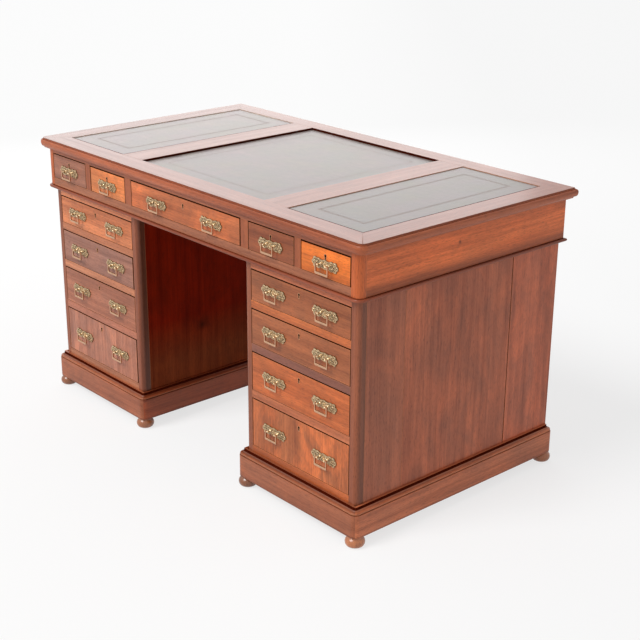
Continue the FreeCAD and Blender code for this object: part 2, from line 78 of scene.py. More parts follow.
def length(name, description, millimetres):
    """Length property, given in millimetres."""
    return bpy.props.FloatProperty(name=name, description=description, unit="LENGTH", min=0.0,
                                   default=millimetres / 1000)


class DeskSizes(bpy.types.PropertyGroup):
    """Sizes of the finish that a user would change."""

    arris: length("Arris", "Softening of the edges of the show boards", 0.9)
    joint: length("Joint line", "Width of the glue lines between the boards of the top and plinths", 0.15)
    tooling_margin: length("Tooling margin", "Distance of the first tooled line from the edge", 48.0)
    tooling_width: length("Tooled line", "Width of a tooled line", 1.6)


class DeskColours(bpy.types.PropertyGroup):
    """Stains and colours that a user would change."""

    top: colour("Top", "Faded mahogany of the framed top", "#98583f")
    edge: colour("Edge of the top", "Moulded edge of the top", "#ab5c38")
    frieze: colour("Frieze", "Ends, posts and back of the frieze", "#cf6933")
    back: colour("Pedestal backs", "Brown mahogany of the pedestal backs", "#935036")
    # The kneehole sides are graded by height from the browner foot to the darker red: painted light low down
    # and painted shade high up
    knee: colour("Kneehole sides", "Darker sides that face the kneehole", "#7a1a02")
    knee_foot: colour("Foot of the kneehole sides", "Browner wood low on those sides", "#7a3a1e")
    post: colour("Posts", "Posts of the pedestals", "#8d4f34")
    bead: colour("Bead", "Bead under the frieze", "#8c472c")
    plinth: colour("Plinths", "Plinth boards", "#98583a")
    foot: colour("Feet", "Turned feet", "#a8673f")
    lining: colour("Linings", "Bare drawer linings and inner boards", "#9a6a48")
    leather: colour("Leather", "Worn grey leather", "#8a7d79")
    tooling: colour("Tooling", "Rubbed gilt of the tooled lines", "#887267")
    brass: colour("Brass", "Lacquered brass of the handles", "#dcc19b")
    rubbed: colour("Rubbed brass", "Brass of the bails, rubbed bright", "#cfa586")
    thread: colour("Keyholes", "Brass threads of the keyholes, stained by the polish", "#d39a74")
    tarnish: colour("Tarnish", "Tarnish on the brass", "#4c4029")
    floor: colour("Floor", "Pale studio floor", "#f6f6f6")


# Joinery in millimetres, as the part's solids have it
slab_x, slab_front, slab_back, slab_top, slab_bottom = 683.0, -376.0, 376.0, 770.0, 742.0
panel_x, panel_front, panel_back, centre_x, rail_x = 610.0, -304.0, 310.0, 260.5, 348.5
cross_x = (centre_x + rail_x) / 2
leathers = (("left", -panel_x, -rail_x, 768), ("middle", -centre_x, centre_x, 764),
            ("right", rail_x, panel_x, 768))
leather_thickness = 2
frieze_x, frieze_end_x, frieze_front, frieze_back = 659.0, 641.0, -359.0, 359.0
frieze_floor, frieze_ceiling, bead_top = 657.0, 730.0, 635.0
frieze_openings = ((-632, -460), (-437, -265), (-236, 236), (265, 437), (460, 632))
frieze_open_x, frieze_rail_back, frieze_inside_back = 632, frieze_front + 22, 341
pedestal_front, pedestal_back, pedestal_inner, pedestal_outer = -347.0, 357.0, 234.0, 647.0
pedestals = (("left", -pedestal_outer, -pedestal_inner), ("right", pedestal_inner, pedestal_outer))
pedestal_openings = ((523, 605), (408, 502), (280, 387), (125, 259))
plinth_top, plinth_foot, pedestal_top = 106.0, 28.0, 626.0
pedestal_rails = ((plinth_top, 125), (259, 280), (387, 408), (502, 523), (605, pedestal_top))
post_width, post_back, side_board, pedestal_inside_back = 25, pedestal_front + 25, 18, 345
pedestal_rail_back, rail_tenon, runner_width, pedestal_floor = pedestal_front + 60, 8, 22, (113, 125)
plinth_projection, plinth_front, plinth_back = 18.5, -365.5, 369.0
drawer_gap, front_thickness, side_thickness, back_thickness = 1.2, 20.0, 10.0, 10
tail_length, side_drop, drawer_back_space, key_drop = 15, 4.2, 52, 20
back_drop, bottom_groove, bottom_rise, bottom_thickness, front_lift, socket_ease = 5, 5, 8, 6, 0.8, 0.12
dust_board, guide_height, guide_rise, stop_half, stop_depth, stop_height = 10, 12, 10, 20, 18, 6
frieze_corner, pedestal_corner, bail_standoff, handle_post_x = 17, 13, 12, 13.8

# Softening of leather and cast edges, and rounding of a drawer front's rim, in metres
fine_edge, front_round = 0.0006, 0.0011

# Heights in metres on the moulded edge of the top: its ledge, the foot of its upper lip, where its own stain
# ends and where the polish begins; and the foot of the bead's fillet
ledge_low, ledge_high, lip_foot = 0.7653, 0.7655, 0.767
stain_top, polish_foot, fillet_foot = 0.7675, 0.7695, 0.6341

# Stain and figure of each drawer front: its boards come from different trees and have faded differently
drawer_stains = {
    "frieze_1": ("#9c6650", 0.5), "frieze_2": ("#e38446", 0.9), "frieze_3": ("#bf693a", 0.8),
    "frieze_4": ("#8f4c2a", 0.5), "frieze_5": ("#db7223", 0.8), "left_1": ("#c77649", 0.5),
    "left_2": ("#986857", 0.4), "left_3": ("#a2644a", 0.5), "left_4": ("#aa6f58", 0.9),
    "right_1": ("#9a5833", 0.5), "right_2": ("#9c5a35", 0.5), "right_3": ("#b8612f", 0.6),
    "right_4": ("#b96637", 1.6),
}

# Fronts whose veneer runs upright
upright_fronts = ("left_4", "right_4")

# How far each front has shrunk or worn at its left, right and upper edge, in millimetres
drawer_wear = {
    "frieze_1": (1.6, 1.0, 1.8), "frieze_2": (2.4, 1.0, 2.6), "frieze_3": (1.0, 3.4, 2.6),
    "frieze_4": (1.0, 1.4, 1.8), "frieze_5": (1.0, 2.4, 2.8), "left_2": (1.0, 3.6, 2.2),
    "left_4": (1.0, 3.4, 2.2),
}
usual_wear = (1.0, 1.0, 2.2)

# Stains of the top at its left and right ends, which have faded differently
top_end_stains = ("#956557", "#8b4b30")

# Dark line along the front and right edges of the side leathers, how wide in millimetres
leather_line = 2.6

# Pale stains on the walls round the left and right leathers: painted light that takes the shade off these
# shallow walls
pale_painted_walls = ("#e6d6ca", "#b98a70")

# Share of the frieze's stain by height on its ends: darker towards the bead, and darker under the top as
# painted shade of its overhang
frieze_end_shading = ((635, 0.45), (646, 0.55), (655, 0.80), (668, 1.0), (715, 1.0), (732, 0.82), (742, 0.72))

# Stains of the frieze's lower rail, upper rail and muntins, and of each pedestal's rails, lowest first; the
# left pedestal's highest rail is paler as painted light, where the shadow of the frieze and bead falls
frieze_rail_stains = ("#a26445", "#a25c3d", "#9b532f")
rail_stains = {
    "left": ("#a76b4c", "#ab6950", "#ba7754", "#b06b47", "#ee9464"),
    "right": ("#ab592b", "#b86a43", "#835040", "#b96433", "#bc6b47"),
}

# Boards of a pedestal's outer side, front to back: place, stain and figure; the last joint has opened
side_boards = ((-322.0, -196.0, "#9c583c", 0.5), (-196.0, 179.8, "#a55a3b", 0.7),
               (182.0, 357.0, "#b25f3f", 0.8))

# Darkening of a plinth: lower and upper height in millimetres, and how much: darker along its foot, and
# painted shade in its quirks and in the hollow under the pedestal; and the heights of its bead, painted paler
# as a painted highlight
plinth_darkening = ((28.0, 32.5, 0.35), (88.6, 89.8, 0.4), (95.8, 99.0, 0.4), (99.0, 107.0, 0.9))
highlit_bead = (90.5, 94.0)

# How pale each foot is, left to right and front before back: painted light and shade, so that the front right
# one, in the light, is the palest and the one by the kneehole on the right is the darkest
foot_light_and_shade = (0.72, 0.8, 0.82, 0.8, 0.55, 0.8, 1.15, 0.95)

# Two small knots: one on the left pedestal's kneehole side, one on the frieze's right end; place and radius
knots = (((-0.234, -0.135, 0.260), 0.026), ((0.659, -0.034, 0.705), 0.006))

# Camera: focal length and sensor in millimetres, place in metres, and turn, tilt and roll in degrees
camera_lens, camera_sensor, camera_place = 74.28, 36.0, (2.66088, -2.26184, 1.64061)
camera_turn, camera_tilt, camera_roll = 48.25, 20.89, 0.4


def sizes():
    """The user's sizes."""
    return bpy.context.scene.desk_sizes


def colours():
    """The user's colours."""
    return bpy.context.scene.desk_colours


# Materials

class Nodes:
    """Shader nodes of one tree. Each method that adds nodes gives the socket of their result."""

    def __init__(self, tree):
        self.tree = tree

    def fill(self, node, inputs):
        """Fill inputs of a node with values or with other nodes' sockets."""
        for key, value in inputs.items():
            if isinstance(value, bpy.types.NodeSocket):
                self.tree.links.new(value, node.inputs[key])
            else:
                node.inputs[key].default_value = value

    def add(self, kind, inputs, out=0, **settings):
        """Node of any kind, with its settings and inputs."""
        node = self.tree.nodes.new("ShaderNode" + kind)
        for name, value in settings.items():
            setattr(node, name, value)
        self.fill(node, inputs)
        return node.outputs[out]

    def attribute(self, name, out="Fac"):
        """Attribute of the mesh."""
        return self.add("Attribute", {}, out, attribute_name=name)

    def place(self):
        """Place on the desk in metres."""
        return self.add("TexCoord", {}, "Object")

    def noise(self, vector, scale, detail, out="Fac", **more):
        """Noise of the same scale all ways."""
        return self.add("TexNoise", {"Vector": vector, "Scale": scale, "Detail": detail, **more}, out)

    def drawn_noise(self, vector, scales, detail, out="Fac", turn=0.0, **more):
        """Noise with a scale for each axis, turned about Z."""
        drawn = self.add("Mapping", {"Vector": vector, "Rotation": (0, 0, turn), "Scale": scales})
        return self.noise(drawn, 1.0, detail, out, **more)

    def math(self, operation, *values, **settings):
        """Sum on numbers."""
        return self.add("Math", dict(enumerate(values)), operation=operation, **settings)

    def vector(self, operation, *values, out=0):
        """Sum on vectors or colours."""
        return self.add("VectorMath", dict(enumerate(values)), out, operation=operation)

    def remap(self, value, low=0.0, high=1.0, to_low=0.0, to_high=1.0):
        """Number taken from one range to another."""
        return self.add("MapRange", {"Value": value, "From Min": low, "From Max": high, "To Min": to_low,
                                     "To Max": to_high})

    def remap_colour(self, value, low, high, to_low, to_high):
        """Number taken from a range to one between two colours."""
        return self.add("MapRange", {"Vector": value, "From Min": (low,) * 3, "From Max": (high,) * 3,
                                     "To Min": to_low, "To Max": to_high}, "Vector", data_type="FLOAT_VECTOR")

    def mix(self, share, first, second):
        """Mix of two colours, each a socket or three values."""
        inputs = {0: share}
        for key, value in ((6, first), (7, second)):
            inputs[key] = value if isinstance(value, bpy.types.NodeSocket) else (*value, 1)
        return self.add("Mix", inputs, 2, data_type="RGBA")

    def bump(self, height, strength, distance):
        """Normal of a fine relief."""
        return self.add("Bump", {"Strength": strength, "Distance": distance, "Height": height})

    def shown(self):
        """One where the camera or a gloss looks, else nothing."""
        path = self.tree.nodes.new("ShaderNodeLightPath").outputs
        seen = self.math("ADD", path["Is Camera Ray"], path["Is Glossy Ray"])
        return self.math("ADD", seen, path["Is Transmission Ray"], use_clamp=True)


def fill_mahogany(nodes, shader, polish, sheen, smooth, dull, contrast):
    """Mahogany sawn along its grain: ribbons, fine dark lines, open pores and a flame figure."""
    grain = nodes.attribute("grain", "Vector")
    # The grain sways by about half a centimetre over a third of a metre
    sway = nodes.drawn_noise(grain, (3.0, 9.0, 9.0), 2.0, "Color")
    bent = nodes.vector("MULTIPLY_ADD", sway, (0.0, 0.012, 0.012), grain)
    # Ribbons about 24 mm wide, and lines drawn 5 mm wide, coarser than real ones so that they show
    ribbon = nodes.drawn_noise(bent, (1.4, 42.0, 42.0), 4.0, Roughness=0.6)
    lines = nodes.drawn_noise(bent, (5.0, 200.0, 200.0), 3.0, Roughness=0.65)
    # Pores are dashes about 12 mm long and 1 mm wide
    pore = nodes.remap(nodes.drawn_noise(bent, (85.0, 950.0, 950.0), 0.0), 0.58, 0.72)
    # Flame figure in patches about 100 mm across
    flame = nodes.drawn_noise(grain, (7.0, 13.0, 13.0), 3.0, Roughness=0.5, Distortion=1.0)
    # Year rings 14 mm apart round a heart 120 mm behind the board, which slopes so that they end in arches
    heart = nodes.add("SeparateXYZ", {0: nodes.attribute("heart", "Vector")}).node.outputs
    depth = nodes.math("MULTIPLY_ADD", heart["X"], 0.35, 0.12)
    sunk = nodes.add("CombineXYZ", {0: depth, 1: heart["Y"], 2: heart["Z"]})
    wavy = nodes.math("MULTIPLY_ADD", flame, 0.05, nodes.vector("LENGTH", sunk, out="Value"))
    ring = nodes.math("SINE", nodes.math("MULTIPLY", wavy, math.tau / 0.014))
    arched = nodes.math("MULTIPLY_ADD", ring, 0.025, flame)
    chosen = nodes.math("MULTIPLY", nodes.math("SUBTRACT", arched, 0.5), nodes.attribute("figure"))
    pattern = nodes.math("MULTIPLY_ADD", chosen, 0.4, nodes.math("MULTIPLY_ADD", lines, 0.55, ribbon))
    # Dark streaks are redder and light ones more golden than the stain
    darkest = [1 + contrast * (value - 1) for value in (0.52, 0.42, 0.38)]
    lightest = [1 + contrast * (value - 1) for value in (1.42, 1.50, 1.52)]
    shade = nodes.remap_colour(pattern, 0.42, 1.12, darkest, lightest)
    streaked = nodes.vector("MULTIPLY", nodes.attribute("stain", "Color"), shade)
    # The flame's light patches are more orange and its dark ones browner
    warm = nodes.remap_colour(chosen, -0.16, 0.16, (0.84, 0.87, 0.93), (1.20, 1.06, 0.94))
    tinted = nodes.vector("MULTIPLY", streaked, warm)
    pored = nodes.mix(0.35, tinted, nodes.mix(pore, tinted, linear("#35170d")))
    # Rubbed edges are paler: use, and a painted highlight along the arrises
    tone = nodes.mix(nodes.math("MULTIPLY", nodes.attribute("wear_and_highlight"), 0.22), pored, linear("#c98a5c"))
    place = nodes.place()
    for spot, radius in knots:
        away = nodes.vector("DISTANCE", place, spot, out="Value")
        ragged = nodes.math("MULTIPLY_ADD", flame, 1.2 * radius, away)
        tone = nodes.mix(nodes.remap(ragged, 0.8 * radius, 1.6 * radius, 0.75, 0.0), tone, linear("#2a0f07"))
    # The dark mask turns the wood dark red: dirt, and painted shade in gaps, recesses and creases
    nodes.fill(shader, {
        "Base Color": nodes.mix(nodes.attribute("grime_and_shade"), tone, linear("#3a0e02")),
        "Roughness": nodes.remap(pattern, 0.4, 1.1, dull, smooth),
        "Normal": nodes.bump(nodes.math("SUBTRACT", lines, pore), 0.08, 0.0005),
        "Specular IOR Level": sheen, "Coat Weight": polish, "Coat Roughness": 0.16})


def fill_grime_and_shade(nodes, shader):
    """Dark red without any shine: dirt and old polish packed in joints, and painted shade in gaps, recesses
    and creases.
    """
    # Crumbs about 4 mm across, the same in the dirt and in the painted shade
    crumbs = nodes.noise(nodes.place(), 250.0, 2.0)
    tone = nodes.mix(crumbs, linear("#330a02"), linear("#4d1506"))
    nodes.fill(shader, {"Base Color": tone, "Roughness": 0.9, "Specular IOR Level": 0.0})


def fill_leather(nodes, shader):
    """Aniline hide glued on a ground: fine pebbled grain, a waxed sheen, and pale wiped streaks painted as
    their highlights.
    """
    place = nodes.place()
    # Worn patches about 70 mm across, and wiping streaks along the desk drawn 9 mm wide, painted paler as
    # their highlights
    patch = nodes.noise(place, 14.0, 6.0, Roughness=0.7)
    lit_streak = nodes.drawn_noise(place, (5.0, 110.0, 1.0), 3.0, turn=0.2)
    wear_and_sheen = nodes.math("MULTIPLY_ADD", lit_streak, 0.22, patch)
    tone = colours().leather
    dark = [value * 0.58 for value in tone]
    light = [min(1.0, value * 1.42) for value in tone]
    tinted = nodes.mix(nodes.remap(wear_and_sheen, 0.35, 0.87), dark, light)
    # Old dye goes from green to purple in patches about 120 mm across
    dye = nodes.noise(place, 8.0, 4.0, Roughness=0.6)
    cast = nodes.remap_colour(dye, 0.36, 0.64, (0.95, 1.01, 0.91), (1.05, 0.98, 1.04))
    dyed = nodes.vector("MULTIPLY", tinted, cast)
    # The hide is palest at the left end of the desk and darkest at the right end
    fading = nodes.remap(nodes.add("SeparateXYZ", {0: place}, "X"), -0.55, 0.55, 1.1, 0.74)
    # Pebbles of the hide are drawn 3 mm across, coarser than real ones so that they show
    pebble = nodes.add("TexVoronoi", {"Vector": place, "Scale": 330.0}, "Distance", feature="F1")
    nodes.fill(shader, {
        "Base Color": nodes.add("VectorMath", {0: dyed, "Scale": fading}, operation="SCALE"),
        "Roughness": nodes.remap(wear_and_sheen, 0.35, 0.87, 0.34, 0.50), "Normal": nodes.bump(pebble, 0.12, 0.0006),
        "Coat Weight": 0.35, "Coat Roughness": 0.25})


def fill_hide_edge(nodes, shader):
    """Cut edge of the hide, where polish and dirt have gathered."""
    nodes.fill(shader, {"Base Color": (*linear("#4f3325"), 1), "Roughness": 0.8, "Specular IOR Level": 0.1})


def fill_tooling(nodes, shader):
    """Gilt line pressed into the leather with a hot wheel, rubbed so that the hide shows through."""
    # Rubbed spots about 6 mm long
    spot = nodes.remap(nodes.noise(nodes.place(), 160.0, 3.0), 0.4, 0.65)
    hide = [value * 0.85 for value in colours().leather]
    nodes.fill(shader, {"Base Color": nodes.mix(spot, colours().tooling, hide), "Roughness": 0.5})


def fill_brass(nodes, shader, tone, spotting):
    """Brass with spots of tarnish: pale where it is rubbed and brown in the hollows."""
    place = nodes.place()
    # Tarnish in spots about 7 mm across, with file marks about 1 mm apart
    spot = nodes.remap(nodes.noise(place, 140.0, 5.0, Roughness=0.65), 0.48, 0.72, 0.0, spotting)
    dirt = nodes.math("MULTIPLY_ADD", nodes.attribute("hollow"), 0.9, spot, use_clamp=True)
    nodes.fill(shader, {
        "Base Color": nodes.mix(dirt, getattr(colours(), tone), colours().tarnish),
        "Roughness": nodes.remap(dirt, to_low=0.30, to_high=0.55),
        "Normal": nodes.bump(nodes.noise(place, 900.0, 2.0), 0.15, 0.0003), "Metallic": 1.0})


# How each material is filled, with its settings. For mahogany: coat of polish, sheen, roughness of the light
# and of the dark streaks, and how strong these are. For brass: its colour, and how strong the tarnish is.
recipes = {
    "french_polished_mahogany": (fill_mahogany, 0.4, 0.5, 0.30, 0.42, 0.55),
    "waxed_mahogany": (fill_mahogany, 0.12, 0.3, 0.38, 0.50, 1.0),
    "dull_stained_mahogany": (fill_mahogany, 0.0, 0.04, 0.55, 0.66, 1.0),
    "bare_mahogany": (fill_mahogany, 0.0, 0.3, 0.58, 0.70, 1.0),
    "soiled_mahogany": (fill_grime_and_shade,),
    "waxed_hide": (fill_leather,),
    "soiled_hide": (fill_hide_edge,),
    "rubbed_gilt_tooling": (fill_tooling,),
    "aged_cast_brass": (fill_brass, "brass", 0.6),
    "rubbed_brass": (fill_brass, "rubbed", 0.25),
    "stained_brass": (fill_brass, "thread", 0.15),
}


def new_material(name):
    """Material with its nodes and its shader."""
    made = bpy.data.materials.new(name)
    made.use_nodes = True
    return made, Nodes(made.node_tree), made.node_tree.nodes["Principled BSDF"]


def material(name):
    """Material of a recipe, made the first time that it is asked for."""
    if name in bpy.data.materials:
        return bpy.data.materials[name]
    made, nodes, shader = new_material(name)
    fill, *settings = recipes[name]
    fill(nodes, shader, *settings)
    return made


# Shapes

def new_mesh():
    """Empty bmesh with the layers that the timber's material reads."""
    bm = bmesh.new()
    bm.verts.layers.float_vector.new("grain")
    bm.verts.layers.float_vector.new("heart")
    bm.verts.layers.float_color.new("stain")
    bm.verts.layers.float.new("figure")
    bm.faces.layers.float.new("wear_and_highlight")
    bm.faces.layers.float.new("grime_and_shade")
    return bm


def mark_grime_and_shade(bm, faces, amount):
    """Mark faces where dirt and old polish gather, and where shade is painted in gaps, recesses and creases.
    """
    grime_and_shade = bm.faces.layers.float["grime_and_shade"]
    for face in faces:
        face[grime_and_shade] = amount


def shares(stain, share):
    """Paler or darker stain."""
    return [share * value for value in stain]


def blend(first, second, part):
    """Stain of a vertex between two stains."""
    return (*(a + (b - a) * part for a, b in zip(first, second)), 1.0)


def edges_of(verts):
    """Edges that meet at any of the vertices."""
    return list({edge for vert in verts for edge in vert.link_edges})


def slice_at(bm, point, normal, **options):
    """Cut the faces of a shape along a plane through a point in millimetres."""
    whole = bm.verts[:] + bm.edges[:] + bm.faces[:]
    bmesh.ops.bisect_plane(bm, geom=whole, dist=1e-7, plane_co=Vector(point) / 1000, plane_no=normal,
                           **options)


def shade_gap_walls(bm, faces, front):
    """Paint shade on the walls of a gap near the show side only, which lies at a depth given in millimetres.
    """
    near, far = 6, 11
    parts = set(faces)
    for face in faces:
        parts.update(face.edges, face.verts)
    for depth in (near, far):
        cut = bmesh.ops.bisect_plane(bm, geom=list(parts), dist=1e-7, plane_co=(0, (front + depth) / 1000, 0),
                                     plane_no=(0, 1, 0))
        parts = set(cut["geom"])
    for face in [part for part in parts if isinstance(part, bmesh.types.BMFace)]:
        depth = face.calc_center_median().y * 1000 - front
        if depth < far:
            mark_grime_and_shade(bm, [face], 1.0 if depth < near else 0.45)


def lay_grain(bm, verts, along, stain, figure=0.0):
    """Give a board its own stretch of timber, with the grain along one axis, and its stain."""
    grain = bm.verts.layers.float_vector["grain"]
    heart = bm.verts.layers.float_vector["heart"]
    shade = bm.verts.layers.float_color["stain"]
    flame = bm.verts.layers.float["figure"]
    verts = list(verts)
    order = {"X": (0, 1, 2), "Y": (1, 2, 0), "Z": (2, 0, 1)}[along]
    middle = sum((vert.co for vert in verts), Vector()) / len(verts)
    # The middle of the board picks its stretch, so that no two boards are alike
    spread = abs(middle.dot(Vector((71.3, 37.7, 53.9))))
    start = Vector((spread % 7.0, spread * 1.7 % 5.0, spread * 2.3 % 3.0))
    for vert in verts:
        vert[grain] = start + Vector([vert.co[axis] for axis in order])
        vert[heart] = [(vert.co - middle)[axis] for axis in order]
        vert[shade] = (*stain, 1.0)
        vert[flame] = figure


def grade(bm, along, figure, levels):
    """Stain a shape by height: levels hold a height in millimetres and its colour, lowest first."""
    for level in levels[1:-1]:
        slice_at(bm, (0, 0, level[0]), (0, 0, 1))
    lay_grain(bm, bm.verts, along, levels[0][1], figure)
    shade = bm.verts.layers.float_color["stain"]
    for vert in bm.verts:
        height = vert.co.z * 1000
        for (low, first), (high, second) in zip(levels, levels[1:]):
            if low - 0.01 <= height <= high + 0.01:
                vert[shade] = blend(first, second, (height - low) / (high - low))


def soften(bm, edges, width, rounds=2):
    """Round edges a little and mark them as rubbed by use, which also paints a highlight along them."""
    if not edges:
        return
    wear_and_highlight = bm.faces.layers.float["wear_and_highlight"]
    made = bmesh.ops.bevel(bm, geom=edges, offset=width, offset_type="OFFSET", affect="EDGES",
                           segments=rounds, profile=0.5, material=-1, clamp_overlap=True)
    for face in made["faces"]:
        face[wear_and_highlight] = 1.0


def cube(bm, x0, x1, y0, y1, z0, z1):
    """Plain block between its six faces, given in millimetres."""
    verts = bmesh.ops.create_cube(bm, size=1.0)["verts"]
    bmesh.ops.scale(bm, vec=Vector((x1 - x0, y1 - y0, z1 - z0)) / 1000, verts=verts)
    bmesh.ops.translate(bm, vec=Vector((x0 + x1, y0 + y1, z0 + z1)) / 2000, verts=verts)
    return verts


def soft_block(bm, *faces):
    """Block with edges hardly softened, as of leather or cast brass."""
    soften(bm, edges_of(cube(bm, *faces)), fine_edge)


def board(bm, x0, x1, y0, y1, z0, z1, along, stain, figure=0.0, darkened=()):
    """Planed board with softened edges, darkened in front on the faces square to the axes named: painted
    shade in the gaps and joints there.
    """
    before = set(bm.verts)
    faces_before = set(bm.faces)
    edges = edges_of(cube(bm, x0, x1, y0, y1, z0, z1))
    soften(bm, edges, min(sizes().arris, 0.12 * min(x1 - x0, y1 - y0, z1 - z0) / 1000))
    lay_grain(bm, set(bm.verts) - before, along, stain, figure)
    for axis in darkened:
        made = set(bm.faces) - faces_before
        walls = [face for face in made if abs(face.normal["XYZ".index(axis)]) > 0.99]
        if axis == "Y":
            mark_grime_and_shade(bm, walls, 0.8)
        else:
            shade_gap_walls(bm, walls, y0)


def corner_post(bm, x0, x1, y0, y1, z0, z1, radius, at_left, stain, shaded_flank):
    """Post whose outer front corner is rounded, with one stain in front and another on its side, which the
    pedestals darken as painted shade.
    """
    before = set(bm.verts)
    verts = cube(bm, x0, x1, y0, y1, z0, z1)
    corner = Vector((x0 if at_left else x1, y0)) / 1000
    upright = [edge for edge in edges_of(verts)
               if all((end.co.xy - corner).length < 1e-5 for end in edge.verts)]
    bmesh.ops.bevel(bm, geom=upright, offset=radius / 1000, offset_type="OFFSET", affect="EDGES", segments=10,
                    profile=0.5, material=-1)
    made = set(bm.verts) - before
    soften(bm, [edge for edge in edges_of(made) if edge.calc_face_angle(0) > 1.0], sizes().arris)
    lay_grain(bm, set(bm.verts) - before, "Z", stain)
    shade = bm.verts.layers.float_color["stain"]
    for vert in set(bm.verts) - before:
        vert[shade] = blend(stain, shaded_flank, min(1.0, max(0.0, (vert.co.y * 1000 - y0) / radius)))
    inward = 1 if at_left else -1
    faces = {face for vert in made if vert.is_valid for face in vert.link_faces}
    # The post's walls along the opening are painted dark near the front: painted shade in the gap
    shade_gap_walls(bm, [face for face in faces if face.normal.x * inward > 0.99], y0)


def quarter(width, rise, count=6, hollow=False):
    """Steps in and on of a quarter round, or of a hollow one."""
    steps = []
    for number in range(count):
        a = math.pi / 2 * number / count
        b = math.pi / 2 * (number + 1) / count
        round_step = (math.cos(a) - math.cos(b), math.sin(b) - math.sin(a))
        inward, onward = reversed(round_step) if hollow else round_step
        steps.append((width * inward, rise * onward))
    return steps


def inset(bm, face, inward, onward):
    """Step in from the edge of a face, and on from it, in metres; gives the faces of the step."""
    return bmesh.ops.inset_region(bm, faces=[face], thickness=inward, depth=onward, use_boundary=True,
                                  use_even_offset=True)["faces"]


def lift(bm, face, move):
    """Solid on a face, as high as a move in millimetres; gives its far face and that face's vertices."""
    lifted = bmesh.ops.extrude_face_region(bm, geom=[face])["geom"]
    verts = [part for part in lifted if isinstance(part, bmesh.types.BMVert)]
    bmesh.ops.translate(bm, vec=[value / 1000 for value in move], verts=verts)
    return [part for part in lifted if isinstance(part, bmesh.types.BMFace)][0], verts


def add_face(bm, points):
    """Face on points in millimetres."""
    return bm.faces.new([bm.verts.new([value / 1000 for value in point]) for point in points])


def moulded_plate(outer, rises, falls, front_corner, back_corner, level, band):
    """Plate with a moulded edge: its widest band, then steps in and up, and in and down, in millimetres."""
    bm = new_mesh()
    x0, x1, y0, y1 = outer
    corners = list(add_face(bm, ((x0, y0, level), (x1, y0, level), (x1, y1, level), (x0, y1, level))).verts)
    for pair, radius in ((corners[:2], front_corner), (corners[2:], back_corner)):
        if radius:
            bmesh.ops.bevel(bm, geom=pair, offset=radius / 1000, offset_type="OFFSET", affect="VERTICES",
                            segments=10, profile=0.5, material=-1)
    bm.faces.ensure_lookup_table()
    lower = bm.faces[0]
    upper = lift(bm, lower, (0, 0, band))[0]
    bmesh.ops.recalc_face_normals(bm, faces=bm.faces)
    for face, steps in ((upper, rises), (lower, falls)):
        for inward, onward in steps:
            inset(bm, face, inward / 1000 if inward else 1e-6, onward / 1000)
    return bm


def cut_piece(source, planes):
    """Copy of a shape, cut by planes that each clear what lies beyond them, and closed again."""
    piece = source.copy()
    for point, normal in planes:
        slice_at(piece, point, normal, clear_outer=True)
        bmesh.ops.holes_fill(piece, edges=[edge for edge in piece.edges if edge.is_boundary], sides=0)
    return piece


def frame_members(plate, outer, inner):
    """Name, run of the grain and shape of a frame's four mitred members, cut from a moulded plate."""
    x0, x1, y0, y1 = outer
    a0, a1, b0, b1 = inner
    half_joint = sizes().joint * 500
    corners = {"front left": ((x0, y0), (a0, b0)), "front right": ((x1, y0), (a1, b0)),
               "back left": ((x0, y1), (a0, b1)), "back right": ((x1, y1), (a1, b1))}
    x, y = (a0 + a1) / 2, (b0 + b1) / 2
    members = []
    faces = (("front", "X", (x, b0, 0), (0, 1, 0)), ("back", "X", (x, b1, 0), (0, -1, 0)),
             ("left", "Y", (a0, y, 0), (1, 0, 0)), ("right", "Y", (a1, y, 0), (-1, 0, 0)))
    for name, along, point, normal in faces:
        planes = [(point, normal)]
        middle = Vector(point) - Vector(normal)
        for corner, (outside, inside) in corners.items():
            if name in corner.split():
                run = Vector((inside[0] - outside[0], inside[1] - outside[1], 0)).normalized()
                across = Vector((-run.y, run.x, 0))
                inside = Vector((*inside, 0))
                if across.dot(middle - inside) > 0:
                    across.negate()
                planes.append((inside - across * half_joint, across))
        members.append((name, along, cut_piece(plate, planes)))
    return members


def finish_piece(name, bm, node, *materials, body="carcase", slot="mahogany", sharp=35):
    """Make the finished object of a piece, with the faces most darkened by dirt and painted shade in a dark
    material instead of its materials.
    """
    grime_and_shade = bm.faces.layers.float.get("grime_and_shade")
    darkened = [face for face in bm.faces if grime_and_shade and face[grime_and_shade] > 0.6]
    for face in darkened:
        face.material_index = len(materials)
    if darkened:
        materials += ("soiled_mahogany",)
    bmesh.ops.recalc_face_normals(bm, faces=bm.faces)
    place_mesh(name, ready_mesh(name, bm), node, *materials, body=body, slot=slot, sharp=sharp)


def ready_mesh(name, bm):
    """Mesh of a shape that is done with."""
    mesh = bpy.data.meshes.new(name)
    bm.to_mesh(mesh)
    bm.free()
    return mesh


def place_mesh(name, mesh, node, *materials, body, slot, sharp=35):
    """Object of a finished mesh, shaded evenly, which rides on a body and stands for a CAD node."""
    for kind in materials:
        mesh.materials.append(material(kind))
    mesh.polygons.foreach_set("use_smooth", [True] * len(mesh.polygons))
    mesh.set_sharp_from_angle(angle=math.radians(sharp))
    piece = link_object(name, mesh)
    even = piece.modifiers.new("even_shading", "WEIGHTED_NORMAL")
    even.keep_sharp = True
    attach(piece, body)
    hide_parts(node)


def link_object(name, data):
    """Object of some data, in the scene."""
    made = bpy.data.objects.new(name, data)
    bpy.context.scene.collection.objects.link(made)
    return made


def evaluated_mesh(holder):
    """Shape of an object with its modifiers or its curve worked out."""
    mesh = bpy.data.meshes.new_from_object(holder.evaluated_get(bpy.context.evaluated_depsgraph_get()))
    bm = bmesh.new()
    bm.from_mesh(mesh)
    bpy.data.meshes.remove(mesh)
    return bm


